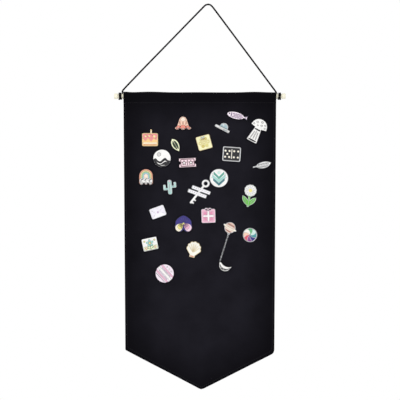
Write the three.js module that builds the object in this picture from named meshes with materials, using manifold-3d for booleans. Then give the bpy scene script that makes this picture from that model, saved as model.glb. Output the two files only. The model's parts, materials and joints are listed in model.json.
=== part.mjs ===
// Pin display banner: a black cloth pennant that hangs from a wooden stick on a cord, with metal
// badges pushed through the cloth and held by rubber clutches behind it.
// Millimetres, +Z up. The display side faces -Y, and +X is to the viewer's right.
// The origin is the underside of the cord where it lies over the wall hook.
import * as THREE from "three";
import { mergeVertices } from "three/addons/utils/BufferGeometryUtils.js";
import Module from "manifold-3d";

const wasm = await Module();
wasm.setup();

// Cloth: a front panel that turns over the stick as a sleeve, and a lining behind it.
const bannerWidth = 221; // across the sleeve
const cornerWidth = 215.4; // across the two lower corners
const leftSide = 372.5; // top fold to the left corner
const rightSide = 377; // top fold to the right corner
const pointLength = 430.1; // top fold to the tip
const tipOffset = 2.2; // tip to the right of the middle
const leftCornerRadius = 1;
const rightCornerRadius = 5;
const tipRadius = 3;
const clothThickness = 0.9;
const layerGap = 0.2; // between two layers of cloth
const sleeveDepth = 15; // top fold to the sleeve seam
const sleeveMargin = 7; // cloth below that seam at the back

// Stick: a round wooden dowel with chamfered ends and a shallow groove for each hitch of the cord.
const stickDiameter = 8;
const stickChamfer = 0.6;
const stickStub = 4.1; // bare wood outside each hitch
const grooveDepth = 0.8;
const grooveMargin = 0.5; // hitch to each side of its groove
const sleeveClearance = 0.6; // stick to sleeve

// Cord: one length from hitch to hitch, over the hook.
const cordDiameter = 2.4;
const cordClearance = 0.3; // groove to cord
const hangHeight = 132; // hook down to the stick's axis
const hookOffset = 12.4; // hook to the right of the cloth's middle
const hitchTurns = 2;
const hitchGap = 1; // edge of the cloth to the cord
const turnGap = 0.45; // between two turns of a hitch
const hitchBow = 0.3; // how far a turn leans outwards at the front
const cordTail = 5; // free end below a hitch

// The cord's free stretch as [x, z], from just above the left hitch to just above the right one.
const cordRoute = [
  [-125, -129.6],
  [-124.3, -125.6],
  [-122.3, -121.4],
  [-99.2, -97.1],
  [-75.6, -72.8],
  [-52.2, -48.8],
  [-28.7, -24.6],
  [-12, -7.5],
  [-8, -3.4],
  [-5.9, -1.2],
  [-3.5, 0.55],
  [0, 1.2],
  [2.6, 0.6],
  [4.6, -0.9],
  [6.7, -3.2],
  [10, -7.5],
  [23.3, -25.3],
  [40.8, -48.8],
  [58.3, -72.3],
  [75.7, -95.7],
  [93.2, -119.2],
  [96.2, -123.2],
  [98.6, -127],
  [100, -129.9],
];

// Badges: a stamped plate with one post, or two where the plate must not turn.
const plateThickness = 1.6;
const postDiameter = 1.2;
const postLength = 8.4; // behind the plate, with its point
const postPoint = 1.6;
const pairSpacing = 15; // between two posts of one badge
const postClearance = 0.15; // round a post, in the cloth and in its clutch
const seatClearance = 0.3; // badge or clutch to the cloth

// Clutches: moulded rubber caps with a blind bore.
const flangeRadius = 4.6;
const flangeThickness = 1.4;
const waistRadius = 3.3;
const noseRadius = 2.5;
const clutchCap = 1.2; // rubber behind the bore
const tipClearance = 0.4; // point of the post to the end of the bore

// Chain between the planet and the crescent, with one bead in place of each link.
const beadDiameter = 1.5;
const neckDiameter = 0.7;
const beadPitch = 2.4;
const eyeDiameter = 3.4;
const eyeBore = 1.4;
const eyeReach = 0.9; // eye's centre outside the plate's edge
const planetEyeAngle = -103; // degrees, from the planet's middle
const chainClearance = 0.3; // end of the chain to the eye

// Details of single badges.
const cornerRadius = 2.4;
const candleWidth = 2.4;
const candleHeight = 5.5;
const candleOffset = 1.6;
const notchRadius = 2;
const shaftWidth = 3.2;
const bowDiameter = 11.5;
const bowHole = 5.4;
const bitWidth = 4.2;
const bitHeight = 2.4;
const ribbonLength = 28;
const ribbonWidth = 5.2;
const ribbonGap = 1.6;
const ribbonTurn = 18; // degrees, against the key's own cross axis
const bitRows = [1.2, 3.2]; // in bit heights, from the key's end
const stemWidth = 3;
const flowerDiameter = 18;
const flowerPetals = 12;
const petalDepth = 0.7;
const shellRibs = 7;
const shellHingeRadius = 1;
const mushroomFootRadius = 2;
const ringHeight = 5.4;

// How finely round shapes are cut.
const roundSides = 28;
const smallSides = 8;
const curveSteps = 5;
const archSteps = 12;
const stickSides = 24;
const clutchSides = 12;
const cordSides = 8;
const turnSteps = 24;
const routeSteps = 64;
const weldDistance = 1e-3;

// Each badge: its middle from the cloth's middle line and the top fold, its turn against the
// clock in degrees, its size, its outline and its main colour.
const badges = [
  { name: "bellflower", right: -24.3, down: 44.5, turn: 0, width: 25, height: 20, outline: bellflower,
    colour: 0xf0b890 },
  { name: "cake", right: -72, down: 68.5, turn: 0, width: 23, height: 19, outline: cake,
    colour: 0xf3c0c6 },
  { name: "leaf", right: -35.1, down: 76.3, turn: 30, width: 11.5, height: 22, outline: leaf,
    colour: 0xdfe3b4 },
  { name: "honeycomb", right: 6.2, down: 72.6, turn: 15, width: 20.5, height: 20.5, outline: tile,
    colour: 0xf4f2b8 },
  { name: "sunhat", right: 34.3, down: 48.9, turn: -27, width: 23, height: 12, outline: sunhat,
    colour: 0xeaf2ee },
  { name: "fish", right: 54.9, down: 34.3, turn: -14, width: 32.5, height: 11, outline: fish,
    pair: "across", colour: 0xd5c9dc },
  { name: "mushroom", right: 82.7, down: 55.4, turn: -28, width: 25, height: 36, outline: mushroom,
    pair: "along", colour: 0xf1f0ee },
  { name: "domino", right: 46, down: 89.4, turn: -4, width: 26, height: 21, outline: tile,
    colour: 0x201f22 },
  { name: "ticket", right: -17.8, down: 101.7, turn: 3, width: 25, height: 13.5, outline: ticket,
    colour: 0xf1c3d3 },
  { name: "wave", right: -54.7, down: 95.4, turn: 0, width: 26.3, height: 26.3, outline: round,
    colour: 0xf2f1ee },
  { name: "rainbow", right: -77.8, down: 122.6, turn: 0, width: 20.5, height: 24, outline: rainbow,
    colour: 0xe9d8cf },
  { name: "cactus", right: -43.4, down: 137.1, turn: 4, width: 19, height: 21, outline: cactus,
    colour: 0x9fd2c8 },
  { name: "key", right: -0.9, down: 143.9, turn: -38, width: 28, height: 42, outline: keyAndRibbon,
    pair: "along", colour: 0xf2f1f2 },
  { name: "chevron", right: 27.6, down: 124.1, turn: 0, width: 26.5, height: 26.5, outline: round,
    colour: 0xb9e0dc },
  { name: "feather", right: 89.9, down: 105.8, turn: 11, width: 27, height: 9.5, outline: feather,
    colour: 0xeeeef0 },
  { name: "daisy", right: 71.9, down: 149.4, turn: -10, width: 20, height: 33, outline: daisy,
    pair: "along", colour: 0xa8d488 },
  { name: "envelope", right: -60.7, down: 173.2, turn: 20, width: 22, height: 15.5, outline: tile,
    colour: 0xf0eef4 },
  { name: "pansy", right: -23.6, down: 189.9, turn: 0, width: 27, height: 24.5, outline: pansy,
    colour: 0x544c88 },
  { name: "gift", right: 12.4, down: 178.7, turn: 2, width: 20.2, height: 20.2, outline: gift,
    colour: 0xf0bcd0 },
  { name: "planet", right: 43.5, down: 195.8, turn: -30, width: 21, height: 16, outline: planet,
    colour: 0xeac6a8 },
  { name: "pinwheel", right: 72.5, down: 206.3, turn: 0, width: 20.5, height: 20.5, outline: round,
    colour: 0xd9cfc0 },
  { name: "bloom", right: -72, down: 219.4, turn: 12, width: 23, height: 19, outline: tile,
    colour: 0xeef0e6 },
  { name: "shell", right: -8.8, down: 226.9, turn: -14, width: 22, height: 24, outline: shell,
    colour: 0xf2eddc },
  { name: "crescent", right: 35.4, down: 253.5, turn: -20, width: 20, height: 11, outline: crescent,
    colour: 0xe6e6e8 },
  { name: "stripe", right: -50.8, down: 261.9, turn: 0, width: 27.5, height: 27.5, outline: round,
    colour: 0xefc9dc },
];

// Sizes that follow from those above.
const stickRadius = stickDiameter / 2;
const sleeveInner = stickRadius + sleeveClearance;
const sleeveOuter = sleeveInner + clothThickness;
const cordRadius = cordDiameter / 2;
const grooveRadius = stickRadius - grooveDepth;
const hitchRadius = grooveRadius + cordClearance + cordRadius;
const hitchPitch = cordDiameter + turnGap;
const hitchStart = bannerWidth / 2 + hitchGap + cordRadius;
const hitchEnd = hitchStart + hitchPitch * hitchTurns + hitchBow + cordRadius;
const grooveStart = hitchStart - cordRadius - grooveMargin;
const grooveEnd = hitchEnd + grooveMargin;
const stickLength = 2 * (hitchEnd + stickStub);
const frontFace = -layerGap / 2 - clothThickness;
const backFace = layerGap / 2 + clothThickness;
const clothStack = backFace - frontFace;
const seamLevel = sleeveOuter - sleeveDepth;
const tipLevel = sleeveOuter - pointLength;
const postInClutch = postLength - clothStack - 2 * seatClearance;
const boreDepth = postInClutch + tipClearance;
const clutchHeight = boreDepth + clutchCap;
const boreRadius = postDiameter / 2 + postClearance;

const radians = THREE.MathUtils.degToRad;

// Solids

function solidOf(geometry) {
  const bare = geometry.clone();
  bare.deleteAttribute("normal");
  bare.deleteAttribute("uv");
  const welded = mergeVertices(bare, weldDistance);
  const corners = welded.index.array;
  const triangles = [];
  for (let i = 0; i < corners.length; i += 3) {
    const [a, b, c] = corners.slice(i, i + 3);
    if (a !== b && b !== c && c !== a) triangles.push(a, b, c);
  }
  return new wasm.Manifold(new wasm.Mesh({
    numProp: 3,
    vertProperties: new Float32Array(welded.attributes.position.array),
    triVerts: new Uint32Array(triangles),
  }));
}

function meshOf(name, solid, finish) {
  const { vertProperties, triVerts } = solid.getMesh();
  const geometry = new THREE.BufferGeometry();
  geometry.setAttribute("position", new THREE.BufferAttribute(vertProperties, 3));
  geometry.setIndex(new THREE.BufferAttribute(triVerts, 1));
  geometry.computeVertexNormals();
  const mesh = new THREE.Mesh(geometry, new THREE.MeshStandardMaterial({ flatShading: true, ...finish }));
  mesh.name = name;
  return mesh;
}

function lathe(profile, sides) {
  return new THREE.LatheGeometry(profile.map(([r, h]) => new THREE.Vector2(r, h)), sides);
}

// An outline drawn as [right, up], made a slab that stands upright with its back at y = 0.
function uprightSlab(shape, depth) {
  const options = { depth, bevelEnabled: false, curveSegments: curveSteps };
  return new THREE.ExtrudeGeometry(shape, options).rotateX(Math.PI / 2);
}

function turned([right, up], degrees) {
  const angle = radians(degrees);
  return [
    right * Math.cos(angle) - up * Math.sin(angle),
    right * Math.sin(angle) + up * Math.cos(angle),
  ];
}

// Outlines

// A closed outline through corners given as [right, up, radius].
function roundedOutline(corners) {
  const shape = new THREE.Shape();
  corners.forEach(([x, y, radius], i) => {
    const corner = new THREE.Vector2(x, y);
    const [before, after] = [corners.at(i - 1), corners[(i + 1) % corners.length]].map(([nx, ny]) => {
      const edge = new THREE.Vector2(nx - x, ny - y);
      return edge.setLength(Math.min(radius, edge.length() / 2)).add(corner);
    });
    if (i === 0) shape.moveTo(before.x, before.y);
    else shape.lineTo(before.x, before.y);
    if (radius > 0) shape.quadraticCurveTo(x, y, after.x, after.y);
  });
  shape.closePath();
  return shape;
}

function bar(width, height, radius, x = 0, y = 0, degrees = 0) {
  const corners = [[-1, -1], [1, -1], [1, 1], [-1, 1]].map(([i, j]) => {
    const [right, up] = turned([(i * width) / 2, (j * height) / 2], degrees);
    return [x + right, y + up, radius];
  });
  return roundedOutline(corners);
}

function oval(width, height, x = 0, y = 0, sides = roundSides) {
  const points = [];
  for (let i = 0; i < sides; i++) {
    const angle = (2 * Math.PI * i) / sides;
    points.push(new THREE.Vector2(
      x + (width / 2) * Math.cos(angle),
      y + (height / 2) * Math.sin(angle),
    ));
  }
  return new THREE.Shape(points);
}

function eye(x, y) {
  const shape = oval(eyeDiameter, eyeDiameter, x, y, 2 * smallSides);
  shape.holes.push(oval(eyeBore, eyeBore, x, y, smallSides));
  return shape;
}

function round({ width, height }) {
  return [oval(width, height)];
}

function tile({ width, height }) {
  return [bar(width, height, cornerRadius)];
}

function bellflower({ width: w, height: h }) {
  const bell = new THREE.Shape();
  bell.moveTo(-w / 2, -0.36 * h);
  bell.bezierCurveTo(-0.22 * w, -0.2 * h, -0.34 * w, 0.5 * h, 0, 0.5 * h);
  bell.bezierCurveTo(0.34 * w, 0.5 * h, 0.22 * w, -0.2 * h, w / 2, -0.36 * h);
  bell.quadraticCurveTo(0.36 * w, -0.62 * h, 0.18 * w, -0.4 * h);
  bell.quadraticCurveTo(0, -0.62 * h, -0.18 * w, -0.4 * h);
  bell.quadraticCurveTo(-0.36 * w, -0.62 * h, -w / 2, -0.36 * h);
  return [bell];
}

function cake({ width, height }) {
  const candle = bar(candleWidth, 2 * candleHeight, candleWidth / 2, candleOffset, height / 2);
  return [bar(width, height, cornerRadius), candle];
}

function leaf({ width: w, height: h }) {
  const blade = new THREE.Shape();
  blade.moveTo(0, h / 2);
  blade.bezierCurveTo(0.72 * w, 0.3 * h, 0.6 * w, -0.22 * h, 0, -h / 2);
  blade.bezierCurveTo(-0.6 * w, -0.22 * h, -0.72 * w, 0.3 * h, 0, h / 2);
  return [blade];
}

function sunhat({ width: w, height: h }) {
  const brim = bar(w, 0.32 * h, 0.16 * h, 0, -0.34 * h);
  const crown = new THREE.Shape();
  crown.moveTo(-0.26 * w, -0.34 * h);
  crown.bezierCurveTo(-0.24 * w, 0.66 * h, 0.36 * w, 0.66 * h, 0.34 * w, -0.34 * h);
  crown.closePath();
  return [brim, crown];
}

function fish({ width: w, height: h }) {
  const body = oval(0.8 * w, h, -0.1 * w, 0);
  const tail = new THREE.Shape();
  tail.moveTo(0.16 * w, 0);
  tail.quadraticCurveTo(0.34 * w, 0.12 * h, 0.48 * w, 0.46 * h);
  tail.quadraticCurveTo(0.4 * w, 0, 0.48 * w, -0.46 * h);
  tail.quadraticCurveTo(0.34 * w, -0.12 * h, 0.16 * w, 0);
  return [body, tail];
}

function mushroom({ width: w, height: h }) {
  const cap = new THREE.Shape();
  cap.moveTo(-w / 2, 0.14 * h);
  cap.bezierCurveTo(-0.48 * w, 0.38 * h, -0.26 * w, 0.5 * h, 0, 0.5 * h);
  cap.bezierCurveTo(0.26 * w, 0.5 * h, 0.48 * w, 0.38 * h, w / 2, 0.14 * h);
  cap.quadraticCurveTo(0, 0.02 * h, -w / 2, 0.14 * h);
  const foot = roundedOutline([
    [-0.34 * w, -0.5 * h, mushroomFootRadius],
    [0.34 * w, -0.5 * h, mushroomFootRadius],
    [0.2 * w, 0.16 * h, 0],
    [-0.2 * w, 0.16 * h, 0],
  ]);
  return [cap, foot];
}

function ticket({ width: w, height: h }) {
  const shape = new THREE.Shape();
  shape.moveTo(-w / 2, -h / 2);
  shape.lineTo(w / 2, -h / 2);
  shape.lineTo(w / 2, -notchRadius);
  shape.absarc(w / 2, 0, notchRadius, -Math.PI / 2, Math.PI / 2, true);
  shape.lineTo(w / 2, h / 2);
  shape.lineTo(-w / 2, h / 2);
  shape.lineTo(-w / 2, notchRadius);
  shape.absarc(-w / 2, 0, notchRadius, Math.PI / 2, -Math.PI / 2, true);
  shape.closePath();
  return [shape];
}

function rainbow({ width: w, height: h }) {
  const arch = new THREE.Shape();
  const spring = (h - w) / 2;
  arch.moveTo(-w / 2, -0.36 * h);
  for (let i = 0; i <= archSteps; i++) {
    const angle = Math.PI * (1 - i / archSteps);
    arch.lineTo((w / 2) * Math.cos(angle), spring + (w / 2) * Math.sin(angle));
  }
  arch.lineTo(w / 2, -0.36 * h);
  arch.closePath();
  const puffs = [[-0.32, -0.33, 0.36], [0, -0.36, 0.28], [0.32, -0.33, 0.36]];
  return [arch, ...puffs.map(([x, y, size]) => oval(size * w, size * w, x * w, y * h, 2 * smallSides))];
}

function cactus({ width: w, height: h }) {
  const column = bar(0.32 * w, h, 0.16 * w);
  const arms = [[-1, -0.12], [1, 0.02]].flatMap(([side, level]) => [
    bar(0.34 * w, 0.15 * h, 0.05 * h, side * 0.25 * w, level * h),
    bar(0.2 * w, 0.4 * h, 0.1 * w, side * 0.4 * w, (level + 0.12) * h),
  ]);
  return [column, ...arms];
}

// A key, and a ribbon in two bars that crosses it.
function keyAndRibbon({ height: h }) {
  const bowLevel = (h - bowDiameter) / 2;
  const bow = oval(bowDiameter, bowDiameter, 0, bowLevel, 2 * smallSides);
  bow.holes.push(oval(bowHole, bowHole, 0, bowLevel, 2 * smallSides));
  const bowRim = (bowDiameter - bowHole) / 2;
  const shaftTop = h / 2 - bowDiameter + bowRim / 2;
  const shaft = bar(shaftWidth, shaftTop + h / 2, shaftWidth / 3, 0, (shaftTop - h / 2) / 2);
  const bits = bitRows.map((rows) => {
    return bar(bitWidth, bitHeight, bitHeight / 4, bitWidth / 2, rows * bitHeight - h / 2);
  });
  const ribbons = [-1, 1].map((side) => {
    const [x, y] = turned([side * ribbonWidth / 3, (side * (ribbonWidth + ribbonGap)) / 2], ribbonTurn);
    return bar(ribbonLength, ribbonWidth, ribbonWidth / 5, x, y, ribbonTurn);
  });
  return [bow, shaft, ...bits, ...ribbons];
}

function feather({ width: w, height: h }) {
  const vane = new THREE.Shape();
  vane.moveTo(-0.36 * w, 0);
  vane.bezierCurveTo(-0.2 * w, 0.62 * h, 0.3 * w, 0.7 * h, w / 2, 0.16 * h);
  vane.bezierCurveTo(0.36 * w, -0.62 * h, -0.14 * w, -0.66 * h, -0.36 * w, 0);
  const quill = bar(0.3 * w, 0.2 * h, 0.1 * h, -0.35 * w, 0);
  return [vane, quill];
}

// A round flower head on a stem with two leaves.
function daisy({ width: w, height: h }) {
  const headLevel = (h - flowerDiameter) / 2;
  const petals = [];
  const steps = 4 * flowerPetals;
  for (let i = 0; i < steps; i++) {
    const angle = (2 * Math.PI * i) / steps;
    const radius = flowerDiameter / 2 - (petalDepth / 2) * (1 + Math.cos(flowerPetals * angle));
    petals.push(new THREE.Vector2(radius * Math.cos(angle), headLevel + radius * Math.sin(angle)));
  }
  const stem = bar(stemWidth, h / 2 + headLevel, stemWidth / 3, 0, (headLevel - h / 2) / 2);
  const leaves = [-1, 1].map((side) => {
    const blade = new THREE.Shape();
    blade.moveTo(0, -0.46 * h);
    blade.bezierCurveTo(side * 0.2 * w, -0.4 * h, side * 0.54 * w, -0.3 * h, side * 0.5 * w, -0.04 * h);
    blade.bezierCurveTo(side * 0.2 * w, -0.06 * h, side * 0.06 * w, -0.2 * h, 0, -0.3 * h);
    blade.closePath();
    return blade;
  });
  return [new THREE.Shape(petals), stem, ...leaves];
}

function pansy({ width: w, height: h }) {
  const upper = new THREE.Shape();
  upper.moveTo(0, h / 2);
  upper.bezierCurveTo(0.34 * w, 0.42 * h, 0.62 * w, 0.02 * h, 0.34 * w, -0.16 * h);
  upper.lineTo(-0.34 * w, -0.16 * h);
  upper.bezierCurveTo(-0.62 * w, 0.02 * h, -0.34 * w, 0.42 * h, 0, h / 2);
  const lower = [-1, 1].map((side) => oval(0.52 * w, 0.62 * h, side * 0.22 * w, -0.19 * h));
  return [upper, ...lower];
}

function gift({ width, height }) {
  const loops = [-1, 1].map((side) => {
    return oval(0.22 * width, 0.16 * height, side * 0.12 * width, height / 2, 2 * smallSides);
  });
  return [bar(width, height, cornerRadius), ...loops];
}

// A ball with a ring, and the chain's eye below it.
function planetEye({ height, turn }) {
  return turned([height / 2 + eyeReach, 0], planetEyeAngle - turn);
}

function planet(badge) {
  const { width, height } = badge;
  return [oval(height, height), oval(width, ringHeight), eye(...planetEye(badge))];
}

// A fan with a scalloped rim and a small square hinge.
function shell({ width: w, height: h }) {
  const fan = new THREE.Shape();
  const rim = (share, reach) => {
    const angle = radians(200 - 220 * share);
    return [0.47 * w * reach * Math.cos(angle), 0.02 * h + 0.45 * h * reach * Math.sin(angle)];
  };
  fan.moveTo(...rim(0, 0.94));
  for (let i = 0; i < shellRibs; i++) {
    fan.quadraticCurveTo(...rim((i + 0.5) / shellRibs, 1.16), ...rim((i + 1) / shellRibs, 0.94));
  }
  fan.lineTo(0.12 * w, -0.42 * h);
  fan.lineTo(-0.12 * w, -0.42 * h);
  fan.closePath();
  return [fan, bar(0.36 * w, 0.14 * h, shellHingeRadius, 0, -0.43 * h)];
}

// A crescent that lies on its back, with the chain's eye on its left horn.
function crescentEye({ width, height }) {
  return [-width / 2 + eyeReach, height / 2 + eyeReach];
}

function crescent({ width: w, height: h }) {
  const moon = new THREE.Shape();
  moon.moveTo(-w / 2, 0.5 * h);
  moon.bezierCurveTo(-0.46 * w, -0.82 * h, 0.46 * w, -0.82 * h, w / 2, 0.5 * h);
  moon.bezierCurveTo(0.24 * w, 0.16 * h, -0.1 * w, 0.16 * h, -0.34 * w, 0.56 * h);
  moon.closePath();
  return [moon, eye(...crescentEye({ width: w, height: h }))];
}

// Badges with their posts

function postPlaces({ pair }) {
  if (!pair) return [[0, 0]];
  const half = pairSpacing / 2;
  return pair === "across" ? [[-half, 0], [half, 0]] : [[0, half], [0, -half]];
}

function badgeMesh(badge) {
  let solid = null;
  for (const shape of badge.outline(badge)) {
    const slab = solidOf(uprightSlab(shape, plateThickness));
    solid = solid ? solid.add(slab) : slab;
  }
  const postRadius = postDiameter / 2;
  const root = -plateThickness / 2;
  const profile = [[0, root], [postRadius, root], [postRadius, postLength - postPoint], [0, postLength]];
  for (const [right, up] of postPlaces(badge)) {
    solid = solid.add(solidOf(lathe(profile, smallSides).translate(right, 0, up)));
  }
  const finish = { color: badge.colour, roughness: 0.25, metalness: 0.1 };
  const mesh = meshOf(`${badge.name}_pin`, solid, finish);
  mesh.position.set(badge.right, frontFace - seatClearance, sleeveOuter - badge.down);
  mesh.rotation.y = -radians(badge.turn);
  return mesh;
}

// A point of a badge as [right, up] from the stick's axis at the cloth's middle.
function onCloth(badge, point) {
  const [right, up] = turned(point, badge.turn);
  return [badge.right + right, sleeveOuter - badge.down + up];
}

function clutchMesh(name, [right, up]) {
  const profile = [
    [0, boreDepth],
    [boreRadius, boreDepth - postPoint / 2],
    [boreRadius, 0],
    [flangeRadius, 0],
    [flangeRadius, flangeThickness],
    [waistRadius, 1.6 * flangeThickness],
    [waistRadius, 0.6 * clutchHeight],
    [noseRadius, clutchHeight],
    [0, clutchHeight],
  ];
  const finish = { color: 0x1b1b1d, roughness: 0.7, metalness: 0 };
  const mesh = meshOf(name, solidOf(lathe(profile, clutchSides)), finish);
  mesh.position.set(right, backFace + seatClearance, up);
  return mesh;
}

// Cloth, made as a section across the stick that runs the banner's width, cut to the pennant.

function pennant() {
  return roundedOutline([
    [-cornerWidth / 2, sleeveOuter - leftSide, leftCornerRadius],
    [tipOffset, tipLevel, tipRadius],
    [cornerWidth / 2, sleeveOuter - rightSide, rightCornerRadius],
    [bannerWidth / 2, sleeveOuter, 0],
    [-bannerWidth / 2, sleeveOuter, 0],
  ]);
}

// Points of a loop from a front foot over the stick to a back foot, both at the seam.
function sleeveLoop(frontFoot, backFoot, radius) {
  const touch = (foot, side) => {
    const lean = Math.acos(radius / Math.hypot(foot, seamLevel));
    return Math.atan2(seamLevel, foot) + side * lean;
  };
  const start = touch(frontFoot, -1) + 2 * Math.PI;
  const end = touch(backFoot, 1);
  const points = [];
  for (let i = 0; i <= archSteps; i++) {
    const angle = start + ((end - start) * i) / archSteps;
    points.push([radius * Math.cos(angle), radius * Math.sin(angle)]);
  }
  return [[frontFoot, seamLevel], ...points, [backFoot, seamLevel]];
}

function frontSection() {
  const flapInner = backFace + layerGap;
  const flapOuter = flapInner + clothThickness;
  const flapEnd = seamLevel - sleeveMargin;
  return [
    [frontFace, tipLevel],
    ...sleeveLoop(frontFace, flapOuter, sleeveOuter),
    [flapOuter, flapEnd],
    [flapInner, flapEnd],
    ...sleeveLoop(-layerGap / 2, flapInner, sleeveInner).reverse(),
    [-layerGap / 2, tipLevel],
  ];
}

function liningSection() {
  const inner = layerGap / 2;
  return [[inner, tipLevel], [inner, seamLevel], [backFace, seamLevel], [backFace, tipLevel]];
}

function clothMesh(name, section, holes) {
  const shape = new THREE.Shape(section.map(([y, z]) => new THREE.Vector2(y, z)));
  const strip = new THREE.ExtrudeGeometry(shape, { depth: bannerWidth, bevelEnabled: false });
  strip.applyMatrix4(new THREE.Matrix4().set(0, 0, 1, 0, 1, 0, 0, 0, 0, 1, 0, 0, 0, 0, 0, 1));
  strip.translate(-bannerWidth / 2, 0, 0);
  const cutterDepth = 4 * sleeveOuter;
  const cutter = uprightSlab(pennant(), cutterDepth).translate(0, cutterDepth / 2, 0);
  let solid = solidOf(strip).intersect(solidOf(cutter));
  for (const [right, up] of holes) {
    const drill = new THREE.CylinderGeometry(boreRadius, boreRadius, cutterDepth, smallSides);
    solid = solid.subtract(solidOf(drill.translate(right, 0, up)));
  }
  return meshOf(name, solid, { color: 0x1c1b20, roughness: 0.95, metalness: 0 });
}

function stickMesh() {
  const half = stickLength / 2;
  const face = stickRadius - stickChamfer;
  const side = half - stickChamfer;
  const rightHalf = [
    [stickRadius, grooveStart],
    [grooveRadius, grooveStart],
    [grooveRadius, grooveEnd],
    [stickRadius, grooveEnd],
    [stickRadius, side],
    [face, half],
    [0, half],
  ];
  const leftHalf = rightHalf.map(([radius, out]) => [radius, -out]).reverse();
  const dowel = lathe([...leftHalf, ...rightHalf], stickSides).rotateZ(-Math.PI / 2);
  return meshOf("wooden_stick", solidOf(dowel), { color: 0xe9dcc0, roughness: 0.6, metalness: 0 });
}

// Turns of a hitch, from the strand's foot at the back of the stick out to the free end.
function hitchPoints(side) {
  const points = [];
  for (let i = 0; i <= hitchTurns * turnSteps; i++) {
    const turns = i / turnSteps;
    const angle = -2 * Math.PI * turns;
    const out = hitchStart + hitchPitch * turns + (hitchBow * (1 - Math.cos(angle))) / 2;
    points.push(new THREE.Vector3(
      side * out - hookOffset,
      hitchRadius * (Math.cos(angle) - 1),
      hitchRadius * Math.sin(angle) - hangHeight,
    ));
  }
  const last = points.at(-1);
  points.push(new THREE.Vector3(last.x, last.y, last.z - cordTail));
  return points;
}

// A closed tube with one ring of vertices at each point, and a middle point in each end.
function tube(points, radius, sides) {
  const tangents = points.map((point, i) => {
    const ahead = points[Math.min(i + 1, points.length - 1)];
    return ahead.clone().sub(points[Math.max(i - 1, 0)]).normalize();
  });
  const across = new THREE.Vector3(0, 1, 0).cross(tangents[0]).normalize();
  const vertices = [];
  const faces = [];
  points.forEach((point, ring) => {
    across.addScaledVector(tangents[ring], -across.dot(tangents[ring])).normalize();
    const upward = tangents[ring].clone().cross(across);
    for (let i = 0; i < sides; i++) {
      const angle = (2 * Math.PI * i) / sides;
      const vertex = point.clone();
      vertex.addScaledVector(across, radius * Math.cos(angle));
      vertex.addScaledVector(upward, radius * Math.sin(angle));
      vertices.push(...vertex.toArray());
      const [a, b] = [ring * sides + i, ring * sides + ((i + 1) % sides)];
      if (ring < points.length - 1) faces.push(a, b, b + sides, a, b + sides, a + sides);
    }
  });
  const lastRing = (points.length - 1) * sides;
  const middles = [points.length * sides, points.length * sides + 1];
  vertices.push(...points[0].toArray(), ...points.at(-1).toArray());
  for (let i = 0; i < sides; i++) {
    const next = (i + 1) % sides;
    faces.push(middles[0], next, i, middles[1], lastRing + i, lastRing + next);
  }
  const geometry = new THREE.BufferGeometry();
  geometry.setAttribute("position", new THREE.Float32BufferAttribute(vertices, 3));
  geometry.setIndex(faces);
  return geometry;
}

function leastSelfGap(points, thickness) {
  const travelled = [0];
  points.slice(1).forEach((point, i) => travelled.push(travelled[i] + point.distanceTo(points[i])));
  let least = Infinity;
  points.forEach((a, i) => points.slice(i + 1).forEach((b, k) => {
    const along = travelled[i + 1 + k] - travelled[i];
    if (along > 3 * thickness) least = Math.min(least, a.distanceTo(b) - thickness);
  }));
  return [travelled.at(-1), least];
}

function cordMesh() {
  const left = hitchPoints(-1).reverse();
  const right = hitchPoints(1);
  const chosen = cordRoute.map(([x, z]) => new THREE.Vector3(x, 0, z));
  const free = new THREE.CatmullRomCurve3([left.at(-1), ...chosen, right[0]]);
  const points = [...left, ...free.getSpacedPoints(routeSteps).slice(1, -1), ...right];
  const [length, gap] = leastSelfGap(points, cordDiameter);
  console.log(`cord: ${length.toFixed(1)} mm long, least gap to itself ${gap.toFixed(2)} mm`);
  const solid = solidOf(tube(points, cordRadius, cordSides));
  return meshOf("hanging_cord", solid, { color: 0x161518, roughness: 0.9, metalness: 0 });
}

// The chain, straight from one eye to the other and resting on the cloth.
function chainMesh(from, to) {
  const y = frontFace - seatClearance - beadDiameter / 2;
  const [start, end] = [from, to].map(([right, up]) => new THREE.Vector3(right, y, up));
  const direction = end.clone().sub(start);
  const inset = eyeDiameter / 2 + chainClearance;
  const length = direction.length() - 2 * inset;
  direction.normalize();
  const beads = Math.round(length / beadPitch);
  const profile = [[0, 0]];
  for (let i = 0; i < beads; i++) {
    profile.push([neckDiameter / 2, (length * i) / beads]);
    profile.push([beadDiameter / 2, (length * (i + 0.5)) / beads]);
  }
  profile.push([neckDiameter / 2, length], [0, length]);
  const finish = { color: 0xb9babd, roughness: 0.3, metalness: 0.9 };
  const mesh = meshOf("charm_chain", solidOf(lathe(profile, smallSides)), finish);
  mesh.position.copy(start).addScaledVector(direction, inset);
  mesh.quaternion.setFromUnitVectors(new THREE.Vector3(0, 1, 0), direction);
  return mesh;
}

// Assembly: everything but the cord is placed from the stick's axis at the cloth's middle.

function clutchName(badge, number) {
  return badge.pair ? `${badge.name}_clutch_${number + 1}` : `${badge.name}_clutch`;
}

const banner = new THREE.Group();
banner.position.set(-hookOffset, -hitchRadius, -hangHeight);

const holes = badges.flatMap((badge) => postPlaces(badge).map((place) => onCloth(badge, place)));
banner.add(clothMesh("front_panel", frontSection(), holes));
banner.add(clothMesh("back_lining", liningSection(), holes));
banner.add(stickMesh());
for (const badge of badges) {
  banner.add(badgeMesh(badge));
  postPlaces(badge).forEach((place, number) => {
    banner.add(clutchMesh(clutchName(badge, number), onCloth(badge, place)));
  });
}

const planetBadge = badges.find(({ name }) => name === "planet");
const crescentBadge = badges.find(({ name }) => name === "crescent");
const chainTop = onCloth(planetBadge, planetEye(planetBadge));
const chainFoot = onCloth(crescentBadge, crescentEye(crescentBadge));
banner.add(chainMesh(chainTop, chainFoot));

const displayBanner = new THREE.Group();
displayBanner.add(banner, cordMesh());

export default displayBanner;
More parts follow.
